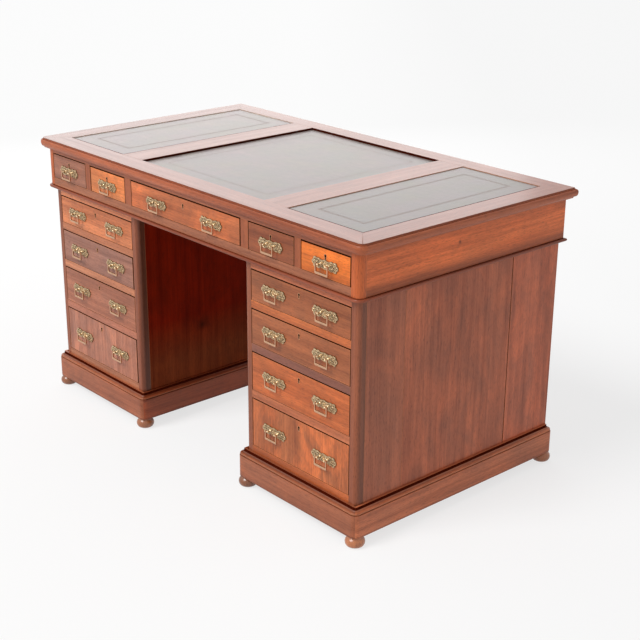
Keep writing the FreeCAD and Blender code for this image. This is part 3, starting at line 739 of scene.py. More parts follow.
def carved(bm, cutter):
    """The first shape less the second."""
    holders = []
    for shape in (bm, cutter):
        bmesh.ops.recalc_face_normals(shape, faces=shape.faces)
        holders.append(link_object("carving", ready_mesh("carving", shape)))
    cut = holders[0].modifiers.new("cut", "BOOLEAN")
    cut.operation = "DIFFERENCE"
    cut.solver = "EXACT"
    cut.object = holders[1]
    made = evaluated_mesh(holders[0])
    for mesh in [holder.data for holder in holders]:
        bpy.data.meshes.remove(mesh)
    return made


def flat_plate(outlines, thickness, edge, resolution=4):
    """Flat plate standing in X and Z on Y of zero: the first outline outside, the others pierced."""
    curve = bpy.data.curves.new("outline", "CURVE")
    curve.dimensions = "2D"
    curve.fill_mode = "BOTH"
    curve.extrude = thickness / 2000 - edge / 1000
    curve.bevel_depth = edge / 1000
    curve.bevel_resolution = 1
    curve.offset = -edge / 1000
    curve.resolution_u = resolution
    for outline in outlines:
        spline = curve.splines.new("BEZIER")
        spline.bezier_points.add(len(outline) - 1)
        for knot, (x, z, kind) in zip(spline.bezier_points, outline):
            knot.co = (x / 1000, z / 1000, 0)
            knot.handle_left_type = kind
            knot.handle_right_type = kind
        spline.use_cyclic_u = True
    bm = evaluated_mesh(link_object("outline", curve))
    bpy.data.curves.remove(curve)
    bmesh.ops.remove_doubles(bm, verts=bm.verts, dist=1e-6)
    bmesh.ops.rotate(bm, cent=(0, 0, 0), matrix=Matrix.Rotation(math.pi / 2, 3, "X"), verts=bm.verts)
    bmesh.ops.translate(bm, vec=(0, -thickness / 2000, 0), verts=bm.verts)
    return bm


def turned(bm, profile, middle, axis, steps):
    """Turning: a line of points, as radius and height in millimetres, spun round an axis of Y or Z."""
    middle = Vector(middle) / 1000
    verts = []
    for radius, height in profile:
        upward = Vector((0, -height, 0)) if axis == "Y" else Vector((0, 0, height))
        verts.append(bm.verts.new(middle + (Vector((radius, 0, 0)) + upward) / 1000))
    edges = [bm.edges.new(pair) for pair in zip(verts, verts[1:])]
    around = (0, 1, 0) if axis == "Y" else (0, 0, 1)
    before = set(bm.verts) - set(verts)
    bmesh.ops.spin(bm, geom=verts + edges, cent=middle, axis=around, angle=math.tau, steps=steps,
                   use_merge=True)
    bmesh.ops.remove_doubles(bm, verts=[vert for vert in bm.verts if vert not in before], dist=1e-6)
    made = [vert for vert in bm.verts if vert not in before]
    bmesh.ops.holes_fill(bm, edges=[edge for edge in edges_of(made) if edge.is_boundary], sides=0)
    return made


def rod(bm, sides, radius, depth, axis, place):
    """Rod along an axis about a place, all in metres."""
    made = bmesh.ops.create_cone(bm, cap_ends=True, segments=sides, radius1=radius, radius2=radius,
                                 depth=depth, matrix=Matrix.Rotation(math.pi / 2, 4, axis))
    bmesh.ops.translate(bm, vec=place, verts=made["verts"])


# Pieces

class DESK_OT_top(bpy.types.Operator):
    """Build the mitred border, cross rails and grounds of the top"""

    bl_idname = "desk.top"
    bl_label = "Framed top"

    def execute(self, context):
        outer = (-slab_x, slab_x, slab_front, slab_back)
        inner = (-panel_x, panel_x, panel_front, panel_back)
        rises = quarter(5.0, 7.6) + [(0.8, 0.0), (0.0, 1.4), (1.5, 0.0), (0.0, 2.4), (0.3, 0.4), (0.4, 0.2)]
        falls = quarter(5.0, 11.3) + quarter(4.0, 4.5, 4, hollow=True)
        plate = moulded_plate(outer, rises, falls, front_corner=23.0, back_corner=0.0, level=757.8, band=0.2)
        # The upper lip's walls are darkened a little: painted shade under the pale edge of the top
        mark_grime_and_shade(plate, [face for face in plate.faces if face.calc_center_median().z > lip_foot
                      and abs(face.normal.z) < 0.1], 0.3)
        for name, along, member in frame_members(plate, outer, inner):
            self.dress(member, along)
            self.wax_edge(member, name)
            finish_piece("top_border_" + name, member, "top_frame", "french_polished_mahogany",
                         "waxed_mahogany", slot="top_mahogany")
        half_joint = sizes().joint * 500
        for name, x0, x1 in (("left", -rail_x, -centre_x), ("right", centre_x, rail_x)):
            rail = cut_piece(plate, (((x0, 0, 0), (-1, 0, 0)), ((x1, 0, 0), (1, 0, 0)),
                                     ((0, panel_front + half_joint, 0), (0, -1, 0)),
                                     ((0, panel_back - half_joint, 0), (0, 1, 0))))
            self.dress(rail, "Y")
            finish_piece("top_cross_rail_" + name, rail, "top_frame", "french_polished_mahogany",
                         slot="top_mahogany")
        plate.free()
        grounds = new_mesh()
        for _, x0, x1, top in leathers:
            board(grounds, x0, x1, panel_front, panel_back, slab_bottom, top - leather_thickness, "X",
                  colours().lining)
        finish_piece("top_grounds", grounds, "top_frame", "bare_mahogany", slot="top_mahogany")
        return {"FINISHED"}

    def dress(self, member, along):
        """Soften, stain and darken a member of the frame, with painted shade and painted light round the
        leathers.
        """
        self.soften_inside(member)
        lay_grain(member, member.verts, along, colours().top, 0.3)
        self.fade(member)
        self.line_leathers(member)

    @staticmethod
    def soften_inside(member):
        """Soften the upper edges along the leathers and joints, and paint shade on the walls of the deep
        middle one.
        """
        for x in (-cross_x, cross_x):
            slice_at(member, (x, 0, 0), (1, 0, 0))
        upper = [edge for edge in member.edges
                 if all(vert.co.z > slab_top / 1000 - 1e-5 for vert in edge.verts)]
        soften(member, [edge for edge in upper if edge.calc_face_angle(0) > 1.0], fine_edge)
        # The walls of the deep middle recess are painted dark: painted shade
        for face in member.faces:
            x, y, _ = face.calc_center_median() * 1000
            upright = max(abs(face.normal.x), abs(face.normal.y)) > 0.99
            if upright and abs(x) < cross_x and panel_front - 0.1 < y < panel_back + 0.1:
                mark_grime_and_shade(member, [face], 1.0)

    @staticmethod
    def fade(member):
        """Stain the member by its distance from the middle of the desk, towards the stain of that end."""
        shade = member.verts.layers.float_color["stain"]
        left, right = (linear(code) for code in top_end_stains)
        for vert in member.verts:
            share = vert.co.x * 1000 / slab_x
            vert[shade] = blend(colours().top, left if share < 0 else right, abs(share))

    @staticmethod
    def line_leathers(member):
        """Darken a thin line of the frame along the side leathers, and paint the walls round them pale as
        painted light.
        """
        shade = member.verts.layers.float_color["stain"]
        front = panel_front - leather_line
        for x0, x1, wall in ((-panel_x, -rail_x, pale_painted_walls[0]), (rail_x, panel_x, pale_painted_walls[1])):
            right = x1 + leather_line
            for x in (x0, right):
                slice_at(member, (x, 0, 0), (1, 0, 0))
            for y in (front, panel_back):
                slice_at(member, (0, y, 0), (0, 1, 0))
            member.normal_update()
            for face in member.faces:
                x, y, z = face.calc_center_median() * 1000
                beside = x0 - 0.1 < x < x1 + 0.1 and panel_front - 0.1 < y < panel_back + 0.1
                lined_strip = x0 < x < right and front < y < panel_back
                if lined_strip and z > slab_top - 1 and face.normal.z > 0.3:
                    mark_grime_and_shade(member, [face], 1.0)
                # The walls round the side leathers are painted pale: painted light in place of their shade
                elif beside and abs(face.normal.z) < 0.1:
                    for vert in face.verts:
                        vert[shade] = (*linear(wall), 1.0)

    @staticmethod
    def wax_edge(member, name):
        """Stain the moulded edge nearly as the frieze, without the top's polish, darker at the right end as
        painted shade, and darken its ledge as painted shade.
        """
        shade = member.verts.layers.float_color["stain"]
        # The right end's moulding is stained darker: painted shade on the side away from the light
        for vert in member.verts:
            if vert.co.z < stain_top:
                vert[shade] = (*shares(colours().edge, 0.84 if name == "right" else 1.0), 1.0)
        for face in member.faces:
            height = face.calc_center_median().z
            if height < polish_foot:
                face.material_index = 1
            # The ledge is darkened: painted shade of a dark line under the top's edge
            if ledge_low < height < ledge_high and face.normal.z > 0.9:
                mark_grime_and_shade(member, [face], 0.9)


class DESK_OT_leathers(bpy.types.Operator):
    """Lay the three leather panels with their tooled lines"""

    bl_idname = "desk.leathers"
    bl_label = "Leather panels"

    def execute(self, context):
        gap = 0.3
        for name, x0, x1, top in leathers:
            bm = new_mesh()
            soft_block(bm, x0 + gap, x1 - gap, panel_front + gap, panel_back - gap, top - leather_thickness,
                       top)
            field = max(bm.faces, key=lambda face: (round(face.calc_center_median().z, 5), face.calc_area()))
            for face in inset(bm, field, 0.0016, 0.0):
                face.material_index = 2 if name == "middle" else 0
            # Elbows have rubbed the inner line off the middle leather
            margins = (sizes().tooling_margin, sizes().tooling_width * 1.6)
            for margin in margins[:1 if name == "middle" else 2]:
                self.tool_line(bm, field, margin, sizes().tooling_width)
            finish_piece("leather_" + name, bm, "leather_panels", "waxed_hide", "rubbed_gilt_tooling",
                         "soiled_hide", slot="leather")
        return {"FINISHED"}

    @staticmethod
    def tool_line(bm, field, margin, width):
        """Press one line round the field, a margin inside its edge."""
        for inward, onward, gilt in ((margin, 0, False), (0.0003, -0.0002, True), (width, 0, True),
                                     (0.0003, 0.0002, True)):
            for face in inset(bm, field, inward, onward):
                face.material_index = 1 if gilt else 0


class DESK_OT_frieze(bpy.types.Operator):
    """Build the frieze: ends, back, rounded posts, rails, muntins and the boards inside"""

    bl_idname = "desk.frieze"
    bl_label = "Frieze"

    def execute(self, context):
        case = new_mesh()
        stain = colours().frieze
        front, back, inside_back = frieze_front, frieze_rail_back, frieze_inside_back
        for name, side in (("left", -1), ("right", 1)):
            x0, x1 = sorted((side * frieze_end_x, side * frieze_x))
            end = new_mesh()
            board(end, x0, x1, back, frieze_back, bead_top, slab_bottom, "Y", stain)
            # The ends are darker towards the bead, and painted with shade under the top's overhang
            grade(end, "Y", 0.5, [(z, shares(stain, share)) for z, share in frieze_end_shading])
            finish_piece("frieze_end_" + name, end, "frieze_case", "waxed_mahogany")
            x0, x1 = sorted((side * frieze_open_x, side * frieze_x))
            post = shares(stain, 0.82)
            corner_post(case, x0, x1, front, back, bead_top, slab_bottom, frieze_corner, side < 0, post,
                        post)
        board(case, -frieze_end_x, frieze_end_x, inside_back, frieze_back, bead_top, slab_bottom, "X", stain,
              0.2)
        finish_piece("frieze_case_boards", case, "frieze_case", "waxed_mahogany")

        rails = new_mesh()
        low, high, upright = (linear(code) for code in frieze_rail_stains)
        for z0, z1, tone in ((bead_top, frieze_floor, low), (frieze_ceiling, slab_bottom, high)):
            board(rails, -frieze_open_x, frieze_open_x, front, back, z0, z1, "X", tone, 0.2, "Z")
        muntins = [(here[1], after[0]) for here, after in zip(frieze_openings, frieze_openings[1:])]
        for x0, x1 in muntins:
            board(rails, x0, x1, front, back, frieze_floor, frieze_ceiling, "Z", upright, 0.2, "X")
        finish_piece("frieze_rails_and_muntins", rails, "frieze_rails", "waxed_mahogany")

        hidden = new_mesh()
        bare = colours().lining
        board(hidden, -frieze_end_x, frieze_end_x, back, inside_back, frieze_floor - dust_board, frieze_floor,
              "X", bare)
        for x0, x1 in [(-frieze_end_x, -frieze_open_x)] + muntins + [(frieze_open_x, frieze_end_x)]:
            board(hidden, x0, x1, back, inside_back, frieze_floor, frieze_floor + guide_height, "Y", bare)
            board(hidden, x0, x1, back, inside_back, frieze_ceiling, slab_bottom, "Y", bare)
        for x0, x1 in frieze_openings:
            drawer_stops(hidden, x0, x1, frieze_floor, front)
        finish_piece("frieze_inner_boards", hidden, "frieze_rails", "bare_mahogany")
        return {"FINISHED"}


def drawer_stops(bm, x0, x1, floor, face):
    """Two blocks that a closed drawer front comes up against."""
    for middle in (x0 + (x1 - x0) / 4, x1 - (x1 - x0) / 4):
        near = face + front_thickness
        board(bm, middle - stop_half, middle + stop_half, near, near + stop_depth, floor, floor + stop_height,
              "X", colours().lining)


class DESK_OT_bead(bpy.types.Operator):
    """Run the half-round bead under the frieze"""

    bl_idname = "desk.bead"
    bl_label = "Bead"

    def execute(self, context):
        outer = (-666, 666, -366, 366)
        inner = (-620, 620, -320, 320)
        rises = quarter(3.9, 3.9) + [(2.4, 0.0), (0.0, 1.0)]
        falls = quarter(3.9, 3.9)
        plate = moulded_plate(outer, rises, falls, front_corner=24.0, back_corner=0.0, level=629.9, band=0.2)
        # The fillet's walls over the bead are darkened: painted shade in the recess under the frieze
        mark_grime_and_shade(plate, [face for face in plate.faces if face.calc_center_median().z > fillet_foot
                      and abs(face.normal.z) < 0.1], 0.9)
        for name, along, member in frame_members(plate, outer, inner):
            lay_grain(member, member.verts, along, colours().bead)
            finish_piece("bead_" + name, member, "frieze_bead", "waxed_mahogany")
        plate.free()
        return {"FINISHED"}


class DESK_OT_pedestals(bpy.types.Operator):
    """Build both pedestals: posts, sides, backs, rails, runners, guides and stops"""

    bl_idname = "desk.pedestals"
    bl_label = "Pedestals"

    def execute(self, context):
        bare = colours().lining
        for side, x0, x1 in pedestals:
            self.build_case(side, x0, x1)
            node = side + "_pedestal_rails"
            left, right = x0 + post_width, x1 - post_width
            rails = new_mesh()
            for (z0, z1), code in zip(pedestal_rails, rail_stains[side]):
                foot = z0 - rail_tenon if z0 == plinth_top else z0
                board(rails, left, right, pedestal_front, pedestal_rail_back, foot, z1, "X", linear(code),
                      0.3, "Z")
            finish_piece(side + "_pedestal_front_rails", rails, node, "waxed_mahogany")
            hidden = new_mesh()
            for z0, z1 in pedestal_rails[1:-1]:
                for a, b in ((left, left + runner_width), (right - runner_width, right)):
                    board(hidden, a, b, pedestal_rail_back, pedestal_inside_back, z0, z1, "Y", bare)
            guides = [(z0, z1 + guide_rise) for z0, z1 in pedestal_rails[:-1]] + [pedestal_rails[-1]]
            for z0, z1 in guides:
                for a, b in ((x0 + side_board, left), (right, x1 - side_board)):
                    board(hidden, a, b, post_back, pedestal_inside_back, z0, z1, "Y", bare)
            for floor, _ in pedestal_openings:
                drawer_stops(hidden, left, right, floor, pedestal_front)
            finish_piece(side + "_pedestal_runners", hidden, node, "bare_mahogany")
        return {"FINISHED"}

    @staticmethod
    def build_case(side, x0, x1):
        """Posts, outer side and back waxed, the kneehole's side dull, and the floor and lid bare."""
        node = side + "_pedestal_case"
        case = new_mesh()
        for a, b, at_left in ((x0, x0 + post_width, True), (x1 - post_width, x1, False)):
            # Each post's side is painted darker as painted shade, darkest on the side that faces the kneehole
            shaded_flank = shares(colours().post, 0.62 if max(abs(a), abs(b)) == pedestal_outer else 0.4)
            corner_post(case, a, b, pedestal_front, post_back, plinth_foot, pedestal_top, pedestal_corner,
                        at_left, colours().post, shaded_flank)
        knee = new_mesh()
        for a, b in ((x0, x0 + side_board), (x1 - side_board, x1)):
            if max(abs(a), abs(b)) == pedestal_outer:
                for y0, y1, code, figure in side_boards:
                    board(case, a, b, y0, y1, plinth_foot, pedestal_top, "Z", linear(code), figure, "Y")
            else:
                board(knee, a, b, post_back, pedestal_back, plinth_foot, pedestal_top, "Z", colours().knee)
        # Browner low down and darker red high up: painted light low in the kneehole and painted shade high up
        high, low = colours().knee, colours().knee_foot
        grade(knee, "Z", 0.6, ((plinth_foot, low), (175, low), (300, high), (pedestal_top, high)))
        finish_piece(side + "_pedestal_knee_side", knee, node, "dull_stained_mahogany")
        board(case, x0 + side_board, x1 - side_board, pedestal_inside_back, pedestal_back, plinth_foot,
              pedestal_top, "Z", colours().back, 0.2)
        finish_piece(side + "_pedestal_boards", case, node, "waxed_mahogany")
        inner = new_mesh()
        for z0, z1 in (pedestal_rails[-1], pedestal_floor):
            board(inner, x0 + post_width, x1 - post_width, pedestal_rail_back, pedestal_inside_back, z0, z1,
                  "X", colours().lining)
        finish_piece(side + "_pedestal_floor_and_lid", inner, node, "bare_mahogany")


class DESK_OT_plinths(bpy.types.Operator):
    """Run the moulded plinth round the foot of each pedestal"""

    bl_idname = "desk.plinths"
    bl_label = "Plinths"

    def execute(self, context):
        bead = [(-inward, onward) for inward, onward in reversed(quarter(2.8, 3.0, 4))]
        rises = [(0.5, 0.5), (3.5, 0.7)] + bead + quarter(2.8, 3.0, 4)
        rises += quarter(8.0, 9.0, 5, hollow=True) + [(0.0, 1.1), (0.4, 0.4)]
        for side, x0, x1 in pedestals:
            outer = (x0 - plinth_projection, x1 + plinth_projection, plinth_front, plinth_back)
            inner = (x0, x1, pedestal_front, pedestal_back)
            plate = moulded_plate(outer, rises, [], front_corner=17.0, back_corner=17.0, level=plinth_foot,
                                  band=60.3)
            slice_at(plate, (0, 0, plinth_darkening[0][1]), (0, 0, 1))
            for name, along, member in frame_members(plate, outer, inner):
                lowest = [edge for edge in member.edges
                          if all(vert.co.z < plinth_foot / 1000 + 1e-5 for vert in edge.verts)]
                soften(member, [edge for edge in lowest if edge.calc_face_angle(0) > 1.0], sizes().arris)
                # The side boards are stained 1.6 times paler than the fronts: painted light on the sides;
                # those that face the kneehole take the kneehole's browner foot colour
                tone, share = colours().plinth, 1.6
                if along == "X":
                    share = 1.15 if side == "left" else 1.0
                elif name != side:
                    tone = colours().knee_foot
                lay_grain(member, member.verts, along, shares(tone, share), 0.5)
                self.darken_plinth(member)
                finish_piece(side + "_plinth_" + name, member, side + "_plinth", "waxed_mahogany")
            plate.free()
        return {"FINISHED"}

    @staticmethod
    def darken_plinth(member):
        """Darken a plinth board by height, with painted shade in its quirks and hollow, and pale its bead as
        a painted highlight.
        """
        wear_and_highlight = member.faces.layers.float["wear_and_highlight"]
        for face in member.faces:
            z = face.calc_center_median().z * 1000
            for low, high, amount in plinth_darkening:
                if low < z < high and abs(face.normal.z) < 0.999:
                    mark_grime_and_shade(member, [face], amount)
            if highlit_bead[0] < z < highlit_bead[1]:
                face[wear_and_highlight] = 1.0


class DESK_OT_feet(bpy.types.Operator):
    """Turn the eight bun feet"""

    bl_idname = "desk.feet"
    bl_label = "Feet"

    def execute(self, context):
        profile = ((15.6, 0.0), (17.2, 0.7), (21.4, 3.1), (24.0, 7.2), (25.0, 12.5), (24.1, 17.4),
                   (21.6, 21.4), (19.0, 23.9), (18.3, 24.9), (19.0, 25.5), (19.0, 27.2), (18.3, 28.0))
        places = [(x, y, 0) for x in (-645.5, -235.5, 235.5, 645.5) for y in (-345.5, 349.0)]
        for number, (place, shade) in enumerate(zip(places, foot_light_and_shade), start=1):
            bm = new_mesh()
            made = turned(bm, profile, place, "Z", 40)
            lay_grain(bm, made, "Z", shares(colours().foot, shade), 0.4)
            finish_piece("foot_%d" % number, bm, "bun_feet", "french_polished_mahogany", sharp=60)
        return {"FINISHED"}


def drawer_places():
    """Name, opening, floor, ceiling, face and inner back of every drawer."""
    places = []
    for number, (x0, x1) in enumerate(frieze_openings, start=1):
        places.append(("frieze_%d" % number, x0, x1, frieze_floor, frieze_ceiling, frieze_front,
                       frieze_inside_back))
    for side, x0, x1 in pedestals:
        for number, (z0, z1) in enumerate(pedestal_openings, start=1):
            places.append(("%s_%d" % (side, number), x0 + post_width, x1 - post_width, z0, z1, pedestal_front,
                           pedestal_inside_back))
    return places


class DESK_OT_drawers(bpy.types.Operator):
    """Build the dovetailed drawers"""

    bl_idname = "desk.drawers"
    bl_label = "Drawers"

    def execute(self, context):
        for name, x0, x1, z0, z1, face, back in drawer_places():
            left, right = x0 + drawer_gap, x1 - drawer_gap
            self.build_front(name, left, right, z0, z1, face)
            self.build_box(name, left, right, z0, z1 - side_drop, face + front_thickness,
                           back - drawer_back_space)
        return {"FINISHED"}

    @staticmethod
    def build_front(name, x0, x1, z0, z1, face):
        """Front with sockets for the sides' tails and a keyhole."""
        root = face + front_thickness
        middle, key = (x0 + x1) / 2, z1 - key_drop
        cutter = new_mesh()
        for a in (x0 - 1, x1 - side_thickness):
            add_tails(cutter, a, a + side_thickness + 1, root, z0, z1 - side_drop, socket_ease)
        add_prism(cutter, keyhole_outline(middle, key, 0.0), face - 1, face + 16)
        left, right, top = drawer_wear.get(name, usual_wear)
        x0, x1, z_low, z_top = x0 + left, x1 - right, z0 + front_lift, z1 - drawer_gap - top
        bm = new_mesh()
        cube(bm, x0, x1, face, root, z_low, z_top)
        bm = carved(bm, cutter)
        rim = []
        for edge in bm.edges:
            x, _, z = (edge.verts[0].co + edge.verts[1].co) / 2 * 1000
            in_front = all(abs(vert.co.y - face / 1000) < 1e-6 for vert in edge.verts)
            if in_front and min(x - x0, x1 - x, z - z_low, z_top - z) < 0.01:
                rim.append(edge)
        soften(bm, rim, front_round, 3)
        code, figure = drawer_stains[name]
        lay_grain(bm, bm.verts, "Z" if name in upright_fronts else "X", linear(code), figure)
        bm.normal_update()
        # The front's edge walls are painted dark near its face: painted shade in the gaps round it
        shade_gap_walls(bm, [wall for wall in bm.faces if max(abs(wall.normal.x), abs(wall.normal.z)) > 0.99], face)
        # The keyhole's walls are painted dark: painted shade inside the hole
        for wall in bm.faces:
            x, y, z = wall.calc_center_median() * 1000
            if abs(x - middle) < 4 and abs(z - key) < 10 and face + 0.1 < y < root - 0.5:
                mark_grime_and_shade(bm, [wall], 1.0)
        drawer = "drawer_" + name
        finish_piece(drawer + "_front", bm, drawer, "waxed_mahogany", body=drawer, slot="drawer_mahogany")

    @staticmethod
    def build_box(name, x0, x1, z0, top, root, end):
        """Sides with tails, back and bottom."""
        bm = new_mesh()
        bare = colours().lining
        for a in (x0, x1 - side_thickness):
            before = set(bm.verts)
            outline = [(end, z0), (end, top), (root, top)]
            for low, high, flare in reversed(tail_places(z0, top)):
                tip = root - tail_length
                outline += [(root, high), (tip, high + flare), (tip, low - flare), (root, low)]
            outline.append((root, z0))
            lift(bm, add_face(bm, [(a, y, z) for y, z in outline]), (side_thickness, 0, 0))
            edges = edges_of(set(bm.verts) - before)
            upper = [edge for edge in edges if all(vert.co.z > top / 1000 - 1e-5 for vert in edge.verts)]
            soften(bm, [edge for edge in upper if abs(edge.verts[0].co.y - edge.verts[1].co.y) > 0.1], 0.0012)
            lay_grain(bm, set(bm.verts) - before, "Y", bare)
        low, high = z0 + bottom_rise, z0 + bottom_rise + bottom_thickness
        board(bm, x0 + side_thickness, x1 - side_thickness, end - back_thickness, end, high, top - back_drop,
              "X", bare)
        board(bm, x0 + bottom_groove, x1 - bottom_groove, root, end, low, high, "X", bare)
        drawer = "drawer_" + name
        finish_piece(drawer + "_box", bm, drawer, "bare_mahogany", body=drawer, slot="drawer_mahogany")


def tail_places(z0, z1):
    """Lower and upper root of each tail on a drawer side, and how far it flares."""
    count = max(2, round((z1 - z0) / 45))
    pitch = (z1 - z0) / count
    return [(z0 + pitch * (number + 0.25), z0 + pitch * (number + 0.75), 2.0) for number in range(count)]


def add_tails(bm, x0, x1, root, z0, z1, ease):
    """Prisms of the tails, a little eased."""
    tip = root - tail_length - ease
    for low, high, flare in tail_places(z0, z1):
        slope = flare / tail_length
        outline = ((root + 1, low - ease + slope), (tip, low - flare - ease), (tip, high + flare + ease),
                   (root + 1, high + ease - slope))
        lift(bm, add_face(bm, [(x0, y, z) for y, z in outline]), (x1 - x0, 0, 0))


def keyhole_outline(x, z, grow):
    """Points round a keyhole: a round eye over a slot."""
    radius = 3.2 + grow
    half = 1.7 + grow
    foot = z - 8.8 - grow
    drop = math.sqrt(radius ** 2 - half ** 2)
    points = [(x + half, foot), (x + half, z - drop)]
    first = math.atan2(-drop, half)
    turn = math.tau - 2 * (math.pi / 2 + first)
    for number in range(1, 14):
        angle = first + turn * number / 14
        points.append((x + radius * math.cos(angle), z + radius * math.sin(angle)))
    return points + [(x - half, z - drop), (x - half, foot)]


def add_prism(bm, outline, y0, y1):
    """Solid on an outline in X and Z, between two depths."""
    lift(bm, add_face(bm, [(x, y0, z) for x, z in outline]), (0, y1 - y0, 0))


class DESK_OT_locks(bpy.types.Operator):
    """Fit the locks inside the drawer fronts and the brass threads of the keyholes"""

    bl_idname = "desk.locks"
    bl_label = "Locks"

    def execute(self, context):
        for name, x0, x1, _, z1, face, _ in drawer_places():
            on_drawer = {"body": "drawer_" + name, "slot": "brass"}
            fittings = "fittings_" + name
            x, z = (x0 + x1) / 2, z1 - key_drop
            case = new_mesh()
            soft_block(case, x - 22, x + 22, face + 19.2, face + 21.2, z - 13, z1 - 7.2)
            soft_block(case, x - 13, x + 13, face + 21.0, face + 22.6, z - 11, z1 - 9)
            finish_piece("lock_" + name, case, fittings, "aged_cast_brass", **on_drawer)
            rims = [keyhole_outline(x, z, grow) for grow in (1.4, 0.0)]
            outlines = [[(a - x, b - z, "VECTOR") for a, b in rim] for rim in rims]
            thread = flat_plate(outlines, 1.2, 0.3, 1)
            bmesh.ops.translate(thread, vec=(x / 1000, (face + 0.6) / 1000, z / 1000), verts=thread.verts)
            finish_piece("keyhole_" + name, thread, fittings, "stained_brass", **on_drawer)
        return {"FINISHED"}


def handle_places():
    """Drawer and bail of every handle, and the place at the middle of its plate's back."""
    places = []
    for joint in frame["joints"]:
        if joint["name"].startswith("swing_"):
            x, y, z = joint["pos_m"]
            places.append((joint["parent"], joint["child"], Vector((x, y + bail_standoff / 1000, z))))
    return places


def moved_copy(pattern, place):
    """Copy of a handle's mesh at its place."""
    mesh = pattern.copy()
    mesh.transform(Matrix.Translation(place))
    return mesh


class DESK_OT_handles(bpy.types.Operator):
    """Cast the pierced handle plates with their rosettes, posts and nuts"""

    bl_idname = "desk.handles"
    bl_label = "Handle plates"

    def execute(self, context):
        pattern = self.cast_plate()
        for drawer, bail, place in handle_places():
            name, node = bail.replace("bail_", "handle_plate_"), drawer.replace("drawer_", "fittings_")
            place_mesh(name, moved_copy(pattern, place), node, "aged_cast_brass", body=drawer, slot="brass")
        bpy.data.meshes.remove(pattern)
        return {"FINISHED"}

    def cast_plate(self):
        """Mesh of one plate at the middle of its back face."""
        quarter_line = [(45.0, 0.0, "AUTO"), (43.4, 4.4, "AUTO"), (39.8, 6.0, "VECTOR"), (39.0, 10.6, "AUTO"),
                        (33.5, 13.0, "AUTO"), (28.6, 11.0, "VECTOR"), (21.5, 12.6, "AUTO"),
                        (14.5, 9.8, "VECTOR"), (7.5, 10.4, "AUTO")]
        half = quarter_line + [(0.0, 12.0, "AUTO")] + [(-x, z, kind) for x, z, kind in reversed(quarter_line)]
        outline = half + [(x, -z, kind) for x, z, kind in reversed(half[1:-1])]
        piercings = [(39.4, 0.0, 1.7), (29.0, 0.0, 2.0)]
        for x, z, radius in ((33.4, 7.0, 1.5), (21.8, 6.4, 1.7), (9.2, 6.2, 1.1)):
            piercings += [(x, -z, radius), (x, z, radius)]
        holes = []
        for side in (-1, 1):
            for x, z, radius in piercings:
                around = ((radius, 0), (0, radius), (-radius, 0), (0, -radius))
                holes.append([(side * x + a, z + b, "AUTO") for a, b in around])
        bm = flat_plate([outline] + holes, 2.0, 0.4)
        rim = flat_plate([self.shrunk(outline, 0.975, 0.94), self.shrunk(outline, 0.925, 0.80)], 2.8, 0.35)
        joined = ready_mesh("joined", rim)
        bm.from_mesh(joined)
        bpy.data.meshes.remove(joined)
        self.add_rosette(bm)
        for side in (-1, 1):
            for x, z, radius in piercings:
                rise = ((0.2, 1.6), (0.3, 2.5), (0.7, 2.8), (1.1, 2.5), (1.3, 1.6), (0.2, 1.6))
                turned(bm, [(radius + out, height) for out, height in rise], (side * x, 0, z), "Y", 16)
            self.add_post(bm, side * handle_post_x)
        bmesh.ops.recalc_face_normals(bm, faces=bm.faces)
        hollow = bm.faces.layers.float.new("hollow")
        for face in bm.faces:
            depth = -face.calc_center_median().y * 1000
            flat = abs(face.normal.y) > 0.9 and 1.9 < depth < 2.3
            wall = abs(face.normal.y) < 0.1 and depth < 1.9
            face[hollow] = 0.45 if flat else 1.0 if wall else 0.0
        return ready_mesh("handle_plate", bm)

    @staticmethod
    def shrunk(outline, along, across):
        """Outline drawn in by shares of its length and height."""
        return [(x * along, z * across, kind) for x, z, kind in outline]

    @staticmethod
    def add_rosette(bm):
        """Raised ring with a ball in its middle and four leaves round it."""
        ring = ((2.4, 1.6), (2.6, 3.4), (3.4, 3.9), (4.3, 3.4), (4.6, 1.6), (2.4, 1.6))
        turned(bm, ring, (0, 0, 0), "Y", 24)
        turned(bm, ((0.0, 3.6), (0.8, 3.3), (1.2, 2.5), (1.2, 1.6)), (0, 0, 0), "Y", 12)
        for number in range(4):
            turn = Matrix.Rotation(math.tau * number / 4, 4, "Y")
            leaf = turn @ Matrix.Translation((0.0062, -0.0020, 0)) @ Matrix.Diagonal((1.9, 0.9, 1.2, 1.0))
            bmesh.ops.create_icosphere(bm, subdivisions=2, radius=0.0012, matrix=leaf)

    @staticmethod
    def add_post(bm, x):
        """Turned post with a ball head that carries a pin of the bail, and its nut inside the drawer."""
        profile = ((0.0, 15.1), (1.7, 14.7), (2.8, 13.6), (3.2, 12.0), (2.8, 10.4), (2.0, 9.3), (1.9, 5.4),
                   (2.8, 4.4), (3.5, 3.6), (3.7, 2.6), (3.7, 1.6))
        turned(bm, profile, (x, 0, 0), "Y", 20)
        rod(bm, 6, 0.0045, 0.003, "X", (x / 1000, 0.0215, 0))
        rod(bm, 12, 0.002, 0.005, "X", (x / 1000, 0.0225, 0))


